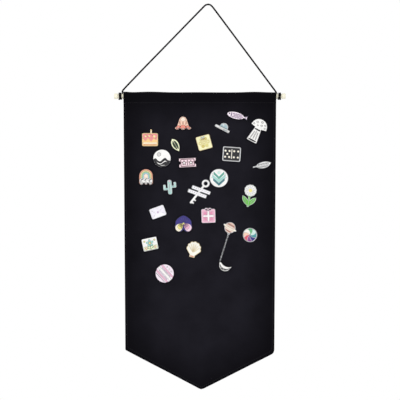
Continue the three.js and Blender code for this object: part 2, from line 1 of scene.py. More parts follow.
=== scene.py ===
# %% [markdown]
# A pin display banner
# The real thing is a black cloth pennant on a wooden stick. A cord hangs it from one hook, and enamel
# badges are pushed through the cloth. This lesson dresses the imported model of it, which already has every
# piece at its true size. Lengths are in millimetres here, and MM turns them into Blender's metres.

# %% Load the frame
import json
import math

import bpy
import numpy as np
from mathutils import Matrix, Vector

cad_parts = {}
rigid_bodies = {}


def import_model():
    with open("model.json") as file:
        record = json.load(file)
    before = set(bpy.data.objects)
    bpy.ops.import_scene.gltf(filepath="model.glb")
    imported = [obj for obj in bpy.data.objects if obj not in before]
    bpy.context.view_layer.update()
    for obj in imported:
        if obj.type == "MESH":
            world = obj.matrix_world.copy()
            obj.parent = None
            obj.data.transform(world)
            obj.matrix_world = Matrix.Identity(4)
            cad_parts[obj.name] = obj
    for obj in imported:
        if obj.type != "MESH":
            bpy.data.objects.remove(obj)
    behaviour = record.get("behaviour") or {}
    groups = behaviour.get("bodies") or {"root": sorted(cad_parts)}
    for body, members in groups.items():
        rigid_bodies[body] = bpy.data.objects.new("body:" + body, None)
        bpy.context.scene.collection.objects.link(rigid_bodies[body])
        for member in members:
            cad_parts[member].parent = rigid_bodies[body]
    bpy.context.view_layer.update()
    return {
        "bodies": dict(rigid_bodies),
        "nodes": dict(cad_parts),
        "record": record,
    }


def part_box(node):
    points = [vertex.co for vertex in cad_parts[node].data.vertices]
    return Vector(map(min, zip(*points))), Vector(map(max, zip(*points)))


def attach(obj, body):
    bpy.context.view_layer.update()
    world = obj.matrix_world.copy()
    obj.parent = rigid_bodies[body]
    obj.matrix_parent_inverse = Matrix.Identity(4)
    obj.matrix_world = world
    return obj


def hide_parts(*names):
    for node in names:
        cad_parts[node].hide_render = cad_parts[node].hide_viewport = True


for leftover in list(bpy.data.objects):
    bpy.data.objects.remove(leftover)
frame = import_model()
scene = bpy.context.scene
MM = 0.001
body_of = {node: body for body, nodes in frame["record"]["behaviour"]["bodies"].items() for node in nodes}


def box_middle(node):
    """The middle of a CAD node, in millimetres."""
    low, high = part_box(node)
    return np.array((low + high) / 2) / MM


stick_middle = box_middle("wooden_stick")

# %% [markdown]
# The camera
# The picture was taken squarely from the front. A long lens keeps the far edges of the cloth as wide as
# the near ones. The camera looks along +Y, and its distance makes the picture as wide at the cloth as it
# is in the photo.

# %% The camera, square to the cloth
picture_width = 578.4
picture_middle = (-12.15, -282.2)  # right and up from the hook
lens, sensor = 150, 36
cloth_front = stick_middle[1] - 1.0
camera_distance = picture_width / 2 / (sensor / 2 / lens)
camera_data = bpy.data.cameras.new("camera")
camera_data.lens, camera_data.sensor_width = lens, sensor
camera = bpy.data.objects.new("camera", camera_data)
camera.location = Vector((picture_middle[0], cloth_front - camera_distance, picture_middle[1])) * MM
camera.rotation_euler = (math.radians(90), 0, 0)
scene.collection.objects.link(camera)
scene.camera = camera
print(f"camera {camera_distance:.0f} mm in front of the cloth")

# %% [markdown]
# Working with nodes
# Both materials and Geometry Nodes are trees of nodes. One small function adds a node, sets its
# properties and fills its sockets, from a value or from another node's output. A second one ends every
# Geometry Nodes tree alike: copies become real geometry and get their finish. A third one runs a tree on a
# mesh and keeps the result as a plain mesh, so that no modifier is left on a finished piece.

# %% Helpers for node trees
def add(tree, kind, sockets=None, **settings):
    """Adds a node. A list in sockets links several outputs into one input."""
    node = tree.nodes.new(kind)
    for name, value in settings.items():
        setattr(node, name, value)
    for key, value in (sockets or {}).items():
        for source in value if isinstance(value, list) else [value]:
            if isinstance(source, bpy.types.NodeSocket):
                tree.links.new(source, node.inputs[key])
            else:
                node.inputs[key].default_value = source
    return node


def new_tree(name, **inputs):
    """A Geometry Nodes tree with a Shape input and the named inputs, given as socket kinds."""
    tree = bpy.data.node_groups.new(name, "GeometryNodeTree")
    tree.interface.new_socket("Shape", in_out="INPUT", socket_type="NodeSocketGeometry")
    for label, kind in inputs.items():
        tree.interface.new_socket(label, in_out="INPUT", socket_type="NodeSocket" + kind)
    tree.interface.new_socket("Shape", in_out="OUTPUT", socket_type="NodeSocketGeometry")
    return tree, tree.nodes.new("NodeGroupInput").outputs


def end_tree(tree, shape, finish, painted=None, paint=None):
    """Ends a tree with plain geometry in one finish. A second finish may go on the painted faces."""
    shape = add(tree, "GeometryNodeRealizeInstances", {0: shape}).outputs[0]
    shape = add(tree, "GeometryNodeSetMaterial", {"Geometry": shape, "Material": finish}).outputs[0]
    if painted is not None:
        shape = add(tree, "GeometryNodeSetMaterial",
                    {"Geometry": shape, "Selection": painted, "Material": paint}).outputs[0]
    add(tree, "NodeGroupOutput", {"Shape": shape})


def evaluated(thing):
    """What the object's modifiers make of it, as a plain mesh. The object itself is removed."""
    depsgraph = bpy.context.evaluated_depsgraph_get()
    mesh = bpy.data.meshes.new_from_object(thing.evaluated_get(depsgraph))
    bpy.data.objects.remove(thing)
    return mesh


def grow(tree, source, **values):
    """Runs the tree on a mesh, with its inputs set by their identifiers."""
    thing = bpy.data.objects.new(tree.name, source)
    scene.collection.objects.link(thing)
    modifier = thing.modifiers.new(tree.name, "NODES")
    modifier.node_group = tree
    for item in tree.interface.items_tree:
        if item.in_out == "INPUT" and item.name in values:
            modifier[item.identifier] = values[item.name]
    return evaluated(thing)


def paths(lines, closed):
    """A mesh of edges only, one run of edges for each line of points."""
    points, edges = [], []
    for line in lines:
        first = len(points)
        points += [(*p, 0.0) if len(p) == 2 else tuple(p) for p in line]
        edges += [(i, i + 1) for i in range(first, len(points) - 1)]
        if closed:
            edges.append((len(points) - 1, first))
    mesh = bpy.data.meshes.new("paths")
    mesh.from_pydata(points, edges, [])
    return mesh


def piece(name, mesh, body, *nodes):
    """A finished object at the origin, that rides on a body and stands for CAD nodes."""
    thing = bpy.data.objects.new(name, mesh)
    scene.collection.objects.link(thing)
    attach(thing, body)
    if nodes:
        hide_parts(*nodes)
    return thing


print("helpers ready")

# %% [markdown]
# Finishes
# A finish starts from what the real surface is. Each one has its own pattern, whose size is worked out
# from millimetres: a texture of scale 1 repeats about once a metre, so one grain of s millimetres needs
# 1000 / s. Colours are written as the hex values that a colour picker shows, and one function makes them
# linear.

# %% Colours and a starting point for finishes
def linear(hex_colour):
    """An sRGB hex value as linear red, green, blue and alpha."""
    channels = [int(hex_colour[i : i + 2], 16) / 255 for i in (1, 3, 5)]
    return (*[c / 12.92 if c <= 0.04045 else ((c + 0.055) / 1.055) ** 2.4 for c in channels], 1.0)


def new_finish(name, **shader_values):
    """A material with one Principled shader. Words with underscores name its sockets."""
    material = bpy.data.materials.new(name)
    material.use_nodes = True
    tree = material.node_tree
    shader = tree.nodes["Principled BSDF"]
    for key, value in shader_values.items():
        shader.inputs[key.replace("_", " ")].default_value = value
    return material, tree, shader.inputs, tree.nodes.new("ShaderNodeTexCoord").outputs


def per_mm(size):
    """The scale of a noise texture whose grains are that many millimetres wide."""
    return 1000 / size


def per_wave(pitch):
    """The scale of a wave texture that repeats every so many millimetres."""
    return 2 * math.pi / 20 * 1000 / pitch


print("black cloth in linear light:", [round(c, 4) for c in linear("#1c1b20")[:3]])

# %% [markdown]
# The hanging cord
# The cord is twisted black cotton, 2.4 mm thick. It takes two turns in a groove near each end of the
# stick and runs up over the hook. A plain tube would look like wire, so a tree winds three thin strands
# round the cord's line: each point is pushed sideways along the curve's normal, which turns further the
# further along it lies. Near both ends, where the turns are pulled tight, the tree draws the strands
# thinner.

# %% Cotton cord finish
cord_finish, tree, shader, place = new_finish(
    "twisted black cotton", Roughness=0.92, Specular_IOR_Level=0.08, Sheen_Weight=0.08, Sheen_Roughness=0.5
)
shader["Sheen Tint"].default_value = linear("#6a6a70")
# Spun cotton is dull and almost without shine. Loose fibres, drawn 0.5 mm wide so that they show, break the
# strands into lighter and darker flecks.
fibres = add(tree, "ShaderNodeTexNoise", {"Vector": place["Object"], "Scale": per_mm(0.5), "Detail": 3.0})
flecks = add(tree, "ShaderNodeValToRGB", {"Fac": fibres.outputs["Fac"]})
dark, pale = flecks.color_ramp.elements
dark.color, pale.color = linear("#08080a"), linear("#1a191d")
rough = add(tree, "ShaderNodeBump", {"Height": fibres.outputs["Fac"], "Strength": 0.5,
                                     "Distance": 0.15 * MM})
tree.links.new(flecks.outputs["Color"], shader["Base Color"])
tree.links.new(rough.outputs["Normal"], shader["Normal"])
print("finish:", cord_finish.name)

# %% The cord's line, from the left tail to the right one
cord_route = [
    (-125, -129.6), (-124.3, -125.6), (-122.3, -121.4), (-99.2, -97.1), (-75.6, -72.8), (-52.2, -48.8),
    (-28.7, -24.6), (-12, -7.5), (-8, -3.4), (-5.9, -1.2), (-3.5, 0.55), (0, 1.2), (2.6, 0.6), (4.6, -0.9),
    (6.7, -3.2), (10, -7.5), (23.3, -25.3), (40.8, -48.8), (58.3, -72.3), (75.7, -95.7), (93.2, -119.2),
    (96.2, -123.2), (98.6, -127), (100, -129.9),
]
# The CAD model keeps a gap between the two turns of a hitch. Here they are pulled tight against each other.
cord_diameter, hitch_radius, hitch_start, hitch_pitch = 2.4, 4.4, 112.95, 1.95
hitch_turns, hitch_bow, cord_tail = 2, 0.3, 5.0


def hitch(side):
    """The turns round one end of the stick, from the strand's foot out to the free end."""
    turns = np.linspace(0, hitch_turns, 36 * hitch_turns + 1)
    angle = -2 * np.pi * turns
    out = hitch_start + hitch_pitch * turns + hitch_bow * (1 - np.cos(angle)) / 2
    x = side * out + stick_middle[0]
    y = hitch_radius * np.cos(angle) + stick_middle[1]
    z = hitch_radius * np.sin(angle) + stick_middle[2]
    tail = np.array([[x[-1], y[-1], z[-1] - d] for d in np.linspace(1, cord_tail, 5)])
    return np.vstack([np.column_stack([x, y, z]), tail])


def curve_through(points, closed=False, steps=6):
    """Points of a smooth curve that passes through every given point."""
    points = np.array(points, float)
    ends = [points[-1:], points, points[:2]] if closed else [points[:1], points, points[-1:]]
    p = np.vstack(ends)
    fine = []
    for a, b, c, d in zip(p[:-3], p[1:-2], p[2:-1], p[3:]):
        for t in np.linspace(0, 1, steps, endpoint=False):
            fine.append(0.5 * (2 * b + (c - a) * t + (2 * a - 5 * b + 4 * c - d) * t**2
                               + (3 * b - 3 * c + d - a) * t**3))
    return np.array(fine if closed else fine + [points[-1]])


def line_length(points):
    return np.linalg.norm(np.diff(points, axis=0), axis=1).sum()


left_hitch, right_hitch = hitch(-1)[::-1], hitch(1)
free = [(x, left_hitch[-1][1], z) for x, z in cord_route]
free = curve_through([left_hitch[-1], *free, right_hitch[0]], steps=8)
cord_line = np.vstack([left_hitch, free[1:-1], right_hitch])

# %% The cord's three strands
strand_count, strand_step, strand_twist = 3, 0.6, 6.0
hitch_squeeze, ease_length = 0.75, 6
tree, given = new_tree("twisted cord", Step="Float", Strand="Float", Lay="Float", Twist="Float",
                       Wound="Float", Eased="Float", Squeeze="Float", Finish="Material")
line = add(tree, "GeometryNodeMeshToCurve", {"Mesh": given["Shape"]})
line = add(tree, "GeometryNodeResampleCurve", {"Curve": line.outputs[0], "Length": given["Step"]},
           mode="LENGTH")
along = add(tree, "GeometryNodeSplineParameter").outputs["Length"]
# The turns at both ends are pulled tight, which draws the cord thinner there.
whole = add(tree, "GeometryNodeSplineLength").outputs["Length"]
to_end = add(tree, "ShaderNodeMath", {0: whole, 1: along}, operation="SUBTRACT")
from_end = add(tree, "ShaderNodeMath", {0: along, 1: to_end.outputs[0]}, operation="MINIMUM")
drawn = add(tree, "ShaderNodeMapRange", {"Value": from_end.outputs[0], "From Min": given["Wound"],
                                         "From Max": given["Eased"], "To Min": given["Squeeze"]})
line = add(tree, "GeometryNodeSetCurveRadius", {"Curve": line.outputs[0], "Radius": drawn.outputs[0]})
share_left = add(tree, "GeometryNodeInputRadius").outputs["Radius"]
lay = add(tree, "ShaderNodeMath", {0: given["Lay"], 1: share_left}, operation="MULTIPLY")
turns = add(tree, "ShaderNodeMath", {0: along, 1: given["Twist"]}, operation="DIVIDE")
normal = add(tree, "GeometryNodeInputNormal").outputs["Normal"]
tangent = add(tree, "GeometryNodeInputTangent").outputs["Tangent"]
round_strand = add(tree, "GeometryNodeCurvePrimitiveCircle", {"Resolution": 8, "Radius": given["Strand"]})
strands = []
for number in range(strand_count):
    start = 2 * math.pi * number / strand_count
    angle = add(tree, "ShaderNodeMath", {0: turns.outputs[0], 1: 2 * math.pi, 2: start},
                operation="MULTIPLY_ADD")
    aside = add(tree, "ShaderNodeVectorRotate",
                {"Vector": normal, "Axis": tangent, "Angle": angle.outputs[0]})
    push = add(tree, "ShaderNodeVectorMath", {0: aside.outputs[0], "Scale": lay.outputs[0]},
               operation="SCALE")
    wound = add(tree, "GeometryNodeSetPosition", {"Geometry": line.outputs[0], "Offset": push.outputs[0]})
    tube = add(tree, "GeometryNodeCurveToMesh",
               {"Curve": wound.outputs[0], "Scale": share_left, "Fill Caps": True,
                "Profile Curve": round_strand.outputs["Curve"]})
    strands.append(tube.outputs[0])
cord = add(tree, "GeometryNodeJoinGeometry", {"Geometry": strands})
cord = add(tree, "GeometryNodeSetShadeSmooth", {0: cord.outputs[0]})
end_tree(tree, cord.outputs[0], given["Finish"])

# Seen from the side, three twisted strands are between 2 + sqrt(3) and 4 of their radii wide.
strand_radius = cord_diameter / (3 + math.sqrt(3) / 2)
strand_lay = 2 / math.sqrt(3) * strand_radius  # three strands that touch
wound_length = line_length(left_hitch)
cord_mesh = grow(tree, paths([cord_line], closed=False), Step=strand_step, Strand=strand_radius,
                 Lay=strand_lay, Twist=strand_twist, Wound=wound_length,
                 Eased=wound_length + ease_length, Squeeze=hitch_squeeze, Finish=cord_finish)
cord_mesh.transform(Matrix.Scale(MM, 4))
cord = piece("black_cord", cord_mesh, "hanger", "hanging_cord")
print("cord faces:", len(cord_mesh.polygons))

# %% [markdown]
# The stick
# The stick is a sanded birch dowel, 8 mm thick, with its ends eased by sandpaper and a shallow groove for
# each hitch of the cord. A turned shape is easiest as a profile that is swept round an axis. The helper
# below is used again for the clutches behind the cloth.

# %% A helper that turns a profile round an axis
def turned(name, profile, sides):
    """A closed mesh from (radius, height) points round Z. The first and last radius are 0."""
    points, faces, rings = [], [], []
    for radius, height in profile:
        count = sides if radius else 1
        rings.append(list(range(len(points), len(points) + count)))
        for k in range(count):
            angle = 2 * math.pi * k / sides
            points.append((radius * math.cos(angle), radius * math.sin(angle), height))
    for low, high in zip(rings, rings[1:]):
        for k in range(sides):
            after = (k + 1) % sides
            if len(low) == 1:
                faces.append((low[0], high[after], high[k]))
            elif len(high) == 1:
                faces.append((low[k], low[after], high[0]))
            else:
                faces.append((low[k], low[after], high[after], high[k]))
    mesh = bpy.data.meshes.new(name)
    mesh.from_pydata(points, [], faces)
    mesh.shade_smooth()
    mesh.set_sharp_from_angle(angle=math.radians(35))
    return mesh


print("turning helper ready")

# %% Birch finish
wood_finish, tree, shader, place = new_finish("sanded birch", Roughness=0.6, Specular_IOR_Level=0.3)
# Sanded birch is pale and silky. Its grain runs along the stick: fibres are about 0.7 mm wide and many
# centimetres long.
lengthwise = add(tree, "ShaderNodeMapping", {"Vector": place["Object"], "Scale": (0.03, 1.0, 1.0)})
grain = add(tree, "ShaderNodeTexNoise", {"Vector": lengthwise.outputs[0], "Scale": per_mm(1.4),
                                         "Detail": 5.0, "Roughness": 0.6, "Distortion": 0.4})
tones = add(tree, "ShaderNodeValToRGB", {"Fac": grain.outputs["Fac"]})
dark, pale = tones.color_ramp.elements
dark.position, pale.position = 0.3, 0.72
dark.color, pale.color = linear("#e9e4cd"), linear("#f5f2e1")
# Pores are short dark dashes, 0.25 mm wide and about 6 mm long.
dashes = add(tree, "ShaderNodeMapping", {"Vector": place["Object"], "Scale": (0.05, 1.0, 1.0)})
pores = add(tree, "ShaderNodeTexVoronoi", {"Vector": dashes.outputs[0], "Scale": per_mm(0.7)})
pore_mask = add(tree, "ShaderNodeMapRange",
                {"Value": pores.outputs["Distance"], "From Min": 0.05, "From Max": 0.2})
colour = add(tree, "ShaderNodeMix", {0: pore_mask.outputs[0], 6: linear("#d5c9a3"), 7: tones.outputs[0]},
             data_type="RGBA")
ridges = add(tree, "ShaderNodeBump", {"Height": grain.outputs["Fac"], "Strength": 0.25,
                                      "Distance": 0.1 * MM})
tree.links.new(colour.outputs[2], shader["Base Color"])
tree.links.new(ridges.outputs["Normal"], shader["Normal"])
print("finish:", wood_finish.name)

# %% The stick
low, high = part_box("wooden_stick")
half_length, stick_radius = (high.x - low.x) / MM / 2, (high.z - low.z) / MM / 2
eased_end = [(0, 0), (0.6, 0), (0.82, 0.02), (0.93, 0.1), (0.985, 0.22), (1, 0.4)]  # shares of the radius
groove_start, groove_end, groove_depth, groove_slope = 111.4, 118.9, 0.8, 0.25
groove_radius = stick_radius - groove_depth
plain_half, plain_rings = 100, 12  # the bare wood between the grooves
left_half = [(r * stick_radius, d * stick_radius - half_length) for r, d in eased_end]
left_half += [(stick_radius, -groove_end - groove_slope), (groove_radius, -groove_end)]
left_half += [(groove_radius, -groove_start), (stick_radius, groove_slope - groove_start)]
left_half += [(stick_radius, x) for x in np.linspace(-plain_half, 0, plain_rings)]
profile = left_half + [(r, -x) for r, x in reversed(left_half[:-1])]
stick_mesh = turned("stick", profile, sides=40)
stick_mesh.transform(Matrix.Translation(Vector(stick_middle) * MM) @ Matrix.Rotation(math.pi / 2, 4, "Y")
                     @ Matrix.Scale(MM, 4))
stick_mesh.materials.append(wood_finish)
stick = piece("birch_stick", stick_mesh, "hanger", "wooden_stick")
print(f"stick: {2 * half_length:.1f} mm long, {2 * stick_radius:.1f} mm thick")

# %% [markdown]
# The cloth
# The pennant is two layers of plain black cotton, sewn together along the edges. The front one runs on
# over the stick as a sleeve, and its flap is sewn down behind. A cloth simulation would only find that it
# hangs flat, so both layers are grids bent to a given shape: up the front, round the stick, down the back.
# Shallow waves that both layers share keep it from looking like a board, and they fade out where badges
# hold the layers together.

# %% Woven cotton finishes
def woven(name, dark, pale, thread):
    """Plain weave, dull and soft: two sets of threads that pass over each other in a chequer."""
    material, tree, shader, place = new_finish(
        name, Roughness=0.95, Specular_IOR_Level=0.05, Sheen_Weight=0.05, Sheen_Roughness=0.45
    )
    shader["Sheen Tint"].default_value = linear("#8a8a94")
    flat = place["UV"]
    across = add(tree, "ShaderNodeTexWave", {"Vector": flat, "Scale": per_wave(thread)}, bands_direction="X")
    upward = add(tree, "ShaderNodeTexWave", {"Vector": flat, "Scale": per_wave(thread)}, bands_direction="Y")
    over = add(tree, "ShaderNodeTexChecker", {"Vector": flat, "Scale": per_mm(thread)})
    threads = add(tree, "ShaderNodeMix", {0: over.outputs["Fac"], 2: across.outputs["Fac"],
                                          3: upward.outputs["Fac"]})
    # Dye takes a little unevenly, in patches of a few centimetres.
    dye = add(tree, "ShaderNodeTexNoise", {"Vector": flat, "Scale": per_mm(34), "Detail": 4.0})
    uneven = add(tree, "ShaderNodeMath", {0: threads.outputs[0], 1: 0.5, 2: dye.outputs["Fac"]},
                 operation="MULTIPLY_ADD")
    # Painted shade: the cloth is drawn darker at the sleeve and towards the sides and the point, where light
    # falls off, and paler in the middle. Each row has a distance, where the painted shade is darkest, where
    # the full tone starts, and what is left of the tone where the painted shade is darkest.
    spot = add(tree, "ShaderNodeSeparateXYZ", {0: flat}).outputs
    aside = add(tree, "ShaderNodeMath", {0: spot["X"]}, operation="ABSOLUTE").outputs[0]
    over_point = add(tree, "ShaderNodeMath", {0: aside, 1: -0.5, 2: spot["Y"]},
                     operation="MULTIPLY_ADD").outputs[0]
    shade_falloffs = ((aside, 112, 62, 0.12), (spot["Y"], 12, -35, 0.1), (over_point, -415, -355, 0.15))
    tone = uneven
    for distance, darkest_at, full_tone_at, darkest_share in shade_falloffs:
        painted_light_falloff = add(tree, "ShaderNodeMapRange", {"Value": distance, "From Min": darkest_at * MM,
                                                   "From Max": full_tone_at * MM, "To Min": darkest_share})
        tone = add(tree, "ShaderNodeMath", {0: tone.outputs[0], 1: painted_light_falloff.outputs[0]}, operation="MULTIPLY")
    colour = add(tree, "ShaderNodeMix", {0: tone.outputs[0], 6: linear(dark), 7: linear(pale)},
                 data_type="RGBA")
    relief = add(tree, "ShaderNodeBump", {"Height": threads.outputs[0], "Strength": 0.35,
                                          "Distance": 0.2 * MM})
    tree.links.new(colour.outputs[2], shader["Base Color"])
    tree.links.new(relief.outputs["Normal"], shader["Normal"])
    return material


# Real threads lie 0.5 mm apart. They are drawn wider, so that the weave still shows in a small picture.
cloth_finish = woven("black cotton canvas", "#08070b", "#1e1d24", thread=1.3)
lining_finish = woven("black lining cotton", "#0d0d0f", "#1b1b1f", thread=1.0)
print("finishes:", cloth_finish.name, "and", lining_finish.name)

# %% The pennant's edges, from the stick's axis at the cloth's middle
half_top, half_low, top_fold = 110.5, 107.7, 5.5
left_corner, right_corner, tip = top_fold - 372.5, top_fold - 377, (2.2, top_fold - 430.1)
thickness, front_layer, back_layer, flap_layer = 0.9, -0.55, 0.55, 1.65  # the middles of the layers
seam_level, flap_end, sleeve_radius = top_fold - 15, top_fold - 22, 5.05


def rounded(before, corner, after, radius, steps=7):
    """A corner eased over the given length along both of its edges."""
    before, corner, after = (np.array(p, float) for p in (before, corner, after))
    a = corner + radius * (before - corner) / np.linalg.norm(before - corner)
    b = corner + radius * (after - corner) / np.linalg.norm(after - corner)
    t = np.linspace(0, 1, steps)[:, None]
    return (1 - t) ** 2 * a + 2 * t * (1 - t) * corner + t**2 * b


corners = [(-half_top, top_fold), (-half_low, left_corner), tip, (half_low, right_corner),
           (half_top, top_fold)]
lower_edge = np.vstack([rounded(*corners[i - 1 : i + 2], radius) for i, radius in ((1, 1), (2, 3), (3, 5))])


def half_width(z, corner_level):
    return half_top + (half_low - half_top) * (top_fold - z) / (top_fold - corner_level)


def between_sides(share, z):
    """A place between the left and right edge at height z."""
    left = -half_width(z, left_corner)
    return left + share * (half_width(z, right_corner) - left)


def lowest(share):
    """The height of the lower edge under that share of the width."""
    z = np.full_like(share, left_corner)
    for _ in range(6):
        z = np.interp(between_sides(share, z), lower_edge[:, 0], lower_edge[:, 1])
    return z


def ease(t):
    t = np.clip(t, 0, 1)
    return t * t * (3 - 2 * t)


height_at_badges, height_at_point, point_start = 0.16, 0.75, -285
badges_ease, point_ease = 60, 110  # the lengths over which the waves grow
slow_waves = ((0.6, 96, 260, 0.6), (0.4, 140, -190, 2.1))  # share, length across, length upward, start


def waves(x, z):
    """How far both layers stand behind a flat plane, in slow waves that grow towards the free point."""
    size = height_at_badges * ease((seam_level - z) / badges_ease)
    size = size + height_at_point * ease((point_start - z) / point_ease)
    return size * sum(share * np.sin(2 * np.pi * (x / across + z / upward) + start)
                      for share, across, upward, start in slow_waves)


# The lower edges slope, so the way to them is a little shorter than the height above them.
edge_slope, lean_depth, lean_reach, lean_ease = 0.88, 0.095, 4, 10


def drawn_in(x, z):
    """How far a layer leans to the other one at the sewn edges, so that no gap shows between them."""
    from_side = np.minimum(x + half_width(z, left_corner), half_width(z, right_corner) - x)
    above_edge = z - np.interp(x, lower_edge[:, 0], lower_edge[:, 1])
    from_edge = np.minimum(from_side, edge_slope * above_edge)
    return lean_depth * (1 - ease(from_edge / lean_reach)) * ease((seam_level - z) / lean_ease)


print(f"lower edge: {len(lower_edge)} points, tip at {lower_edge[:, 1].min():.1f} mm")

# %% Grids of cloth
fine_steps = np.array([0, 0.7, 1.4, 2.1, 3, 4.2, 6])  # closer together at the edges
side_shares = fine_steps / (2 * half_top)
columns_between, rows_between = 58, 100
inner_shares = np.linspace(side_shares[-1], 1 - side_shares[-1], columns_between)[1:-1]
shares = np.concatenate([side_shares, inner_shares, 1 - side_shares[::-1]])
fall = seam_level - lowest(shares)
depths = np.concatenate([
    np.tile(fine_steps[:, None], (1, len(shares))),
    fine_steps[-1] + np.linspace(0, 1, rows_between)[1:-1, None] * (fall - 2 * fine_steps[-1]),
    fall - np.tile(fine_steps[::-1, None], (1, len(shares))),
])[::-1]  # from the lower edge up to the sleeve's seam


def sleeve_path():
    """The section of the sleeve above its seam, and its flap, as (back, up)."""
    def touch(foot, side):
        lean = math.acos(sleeve_radius / math.hypot(foot, seam_level))
        return math.atan2(seam_level, foot) + side * lean
    angles = np.linspace(touch(front_layer, -1) + 2 * math.pi, touch(flap_layer, 1), 25)
    loop = sleeve_radius * np.column_stack([np.cos(angles), np.sin(angles)])
    feet = [np.array([[front_layer, seam_level]]), np.array([[flap_layer, seam_level]])]
    rise = feet[0] + (loop[:1] - feet[0]) * np.array([[0.35], [0.7]])
    fall_back = loop[-1:] + (feet[1] - loop[-1:]) * np.array([[0.35], [0.7]])
    flap = np.column_stack([np.full(4, flap_layer), np.linspace(seam_level, flap_end, 4)])
    return np.vstack([rise, loop, fall_back, flap])


def looseness(x):
    """How far the sleeve stands off the stick's top. It is tighter in the middle than at both sides."""
    puffs = ((-108, 7, 0.9), (-72, 22, 1.0), (-4, 20, 0.25), (79, 17, 0.8))  # middle, width, height
    return sum(height * np.exp(-((x - middle) / width) ** 2) for middle, width, height in puffs)


def cloth_grid(name, layer, lean, path, finish):
    """A grid from the lower edge up to the seam, and on along a path, with a map of its flat size."""
    z = seam_level - depths
    x = between_sides(shares[None, :], z)
    y = layer + waves(x, z) + lean * drawn_in(x, z)
    flat_up = -depths
    if len(path):
        flat = np.cumsum(np.linalg.norm(np.diff(np.vstack([[layer, seam_level], path]), axis=0), axis=1))
        path_z = np.tile(path[:, 1:], (1, len(shares)))
        path_x = between_sides(shares[None, :], path_z)
        path_z = path_z + looseness(path_x) * ease(path_z / sleeve_radius + 0.2)
        x = np.vstack([x, path_x])
        y = np.vstack([y, np.tile(path[:, :1], (1, len(shares)))])
        z = np.vstack([z, path_z])
        flat_up = np.vstack([flat_up, np.tile(flat[:, None], (1, len(shares)))])
    rows, columns = x.shape
    points = (np.dstack([x, y, z]).reshape(-1, 3) + stick_middle) * MM
    number = np.arange(rows * columns).reshape(rows, columns)
    faces = np.dstack([number[:-1, :-1], number[:-1, 1:], number[1:, 1:], number[1:, :-1]]).reshape(-1, 4)
    mesh = bpy.data.meshes.new(name)
    mesh.from_pydata(points.tolist(), [], faces.tolist())
    flat_map = np.column_stack([x.ravel(), flat_up.ravel()]) * MM
    corner_map = flat_map[faces.ravel()].astype(np.float32)
    mesh.uv_layers.new(name="flat cloth").data.foreach_set("uv", corner_map.ravel())
    mesh.materials.append(finish)
    area = sum(face.area for face in mesh.polygons)
    return mesh, area, (np.ptp(flat_map[:, 0]), np.ptp(flat_map[:, 1]))


front_mesh, front_area, front_flat = cloth_grid("front cloth", front_layer, 1, sleeve_path(), cloth_finish)
lining_mesh, lining_area, lining_flat = cloth_grid("lining", back_layer, -1, np.zeros((0, 2)), lining_finish)
print("front cloth cut:", np.round(front_flat, 3), "lining cut:", np.round(lining_flat, 3))

# %% [markdown]
# Each post needs its hole through both layers. The grids get their thickness from a Solidify modifier,
# and a Boolean modifier then punches all the holes at once with one mesh of short rods.

# %% Thickness and post holes
clutch_nodes = sorted(node for node in frame["nodes"] if "_clutch" in node)
post_places = {node: box_middle(node) for node in clutch_nodes}
hole_radius, rod_reach = 0.75, 4
rod_profile = [(0, -rod_reach), (hole_radius, -rod_reach), (hole_radius, rod_reach), (0, rod_reach)]
rod = turned("rod", rod_profile, sides=12)
rod.transform(Matrix.Rotation(-math.pi / 2, 4, "X"))

tree, given = new_tree("set at points", Item="Object", Finish="Material")
item = add(tree, "GeometryNodeObjectInfo", {"Object": given["Item"]})
items = add(tree, "GeometryNodeInstanceOnPoints",
            {"Points": given["Shape"], "Instance": item.outputs["Geometry"]})
end_tree(tree, items.outputs[0], given["Finish"])
set_at_points = tree


def at_points(item_mesh, points, finish):
    """Copies of a mesh at the given places, as one mesh in metres."""
    item = bpy.data.objects.new("item", item_mesh)
    scene.collection.objects.link(item)
    mesh = grow(set_at_points, paths([[p] for p in points], closed=False), Item=item, Finish=finish)
    bpy.data.objects.remove(item)
    mesh.transform(Matrix.Scale(MM, 4))
    return mesh


def thickened(mesh):
    """The grid as a layer of cloth with holes for the posts."""
    places = [(p[0], stick_middle[1], p[2]) for p in post_places.values()]
    rods = bpy.data.objects.new("rods", at_points(rod, places, cloth_finish))
    cloth = bpy.data.objects.new("cloth", mesh)
    for thing in (rods, cloth):
        scene.collection.objects.link(thing)
    solid = cloth.modifiers.new("thickness", "SOLIDIFY")
    solid.thickness, solid.offset, solid.use_even_offset = thickness * MM, 0, True
    punch = cloth.modifiers.new("holes", "BOOLEAN")
    punch.object, punch.operation, punch.solver = rods, "DIFFERENCE", "EXACT"
    made = evaluated(cloth)
    bpy.data.objects.remove(rods)
    made.shade_smooth()
    made.set_sharp_from_angle(angle=math.radians(40))
    return made


front_cloth = piece("front_cloth", thickened(front_mesh), "banner", "front_panel")
lining = piece("lining_cloth", thickened(lining_mesh), "banner", "back_lining")
print("cloth faces:", len(front_cloth.data.polygons), len(lining.data.polygons))

# %% [markdown]
# Stitches
# Sewing thread shows as short raised dashes, all the same length. A tree spaces points along a path and
# sets one small stitch on each, turned along the path. The chain of the charm uses the same tree later,
# with a quarter turn from each link to the next.

# %% Sewing thread finish and the row tree
thread_finish, tree, shader, place = new_finish("black polyester thread", Roughness=0.55,
                                                Specular_IOR_Level=0.2)
# Polyester has a faint shine. Its two plies, 0.3 mm each, show as fine slanted bands.
slanted = add(tree, "ShaderNodeMapping", {"Vector": place["Object"], "Rotation": (0.0, 0.6, 0.0)})
plies = add(tree, "ShaderNodeTexWave", {"Vector": slanted.outputs[0], "Scale": per_wave(0.6)})
colour = add(tree, "ShaderNodeMix", {0: plies.outputs["Fac"], 6: linear("#121215"), 7: linear("#232227")},
             data_type="RGBA")
tree.links.new(colour.outputs[2], shader["Base Color"])

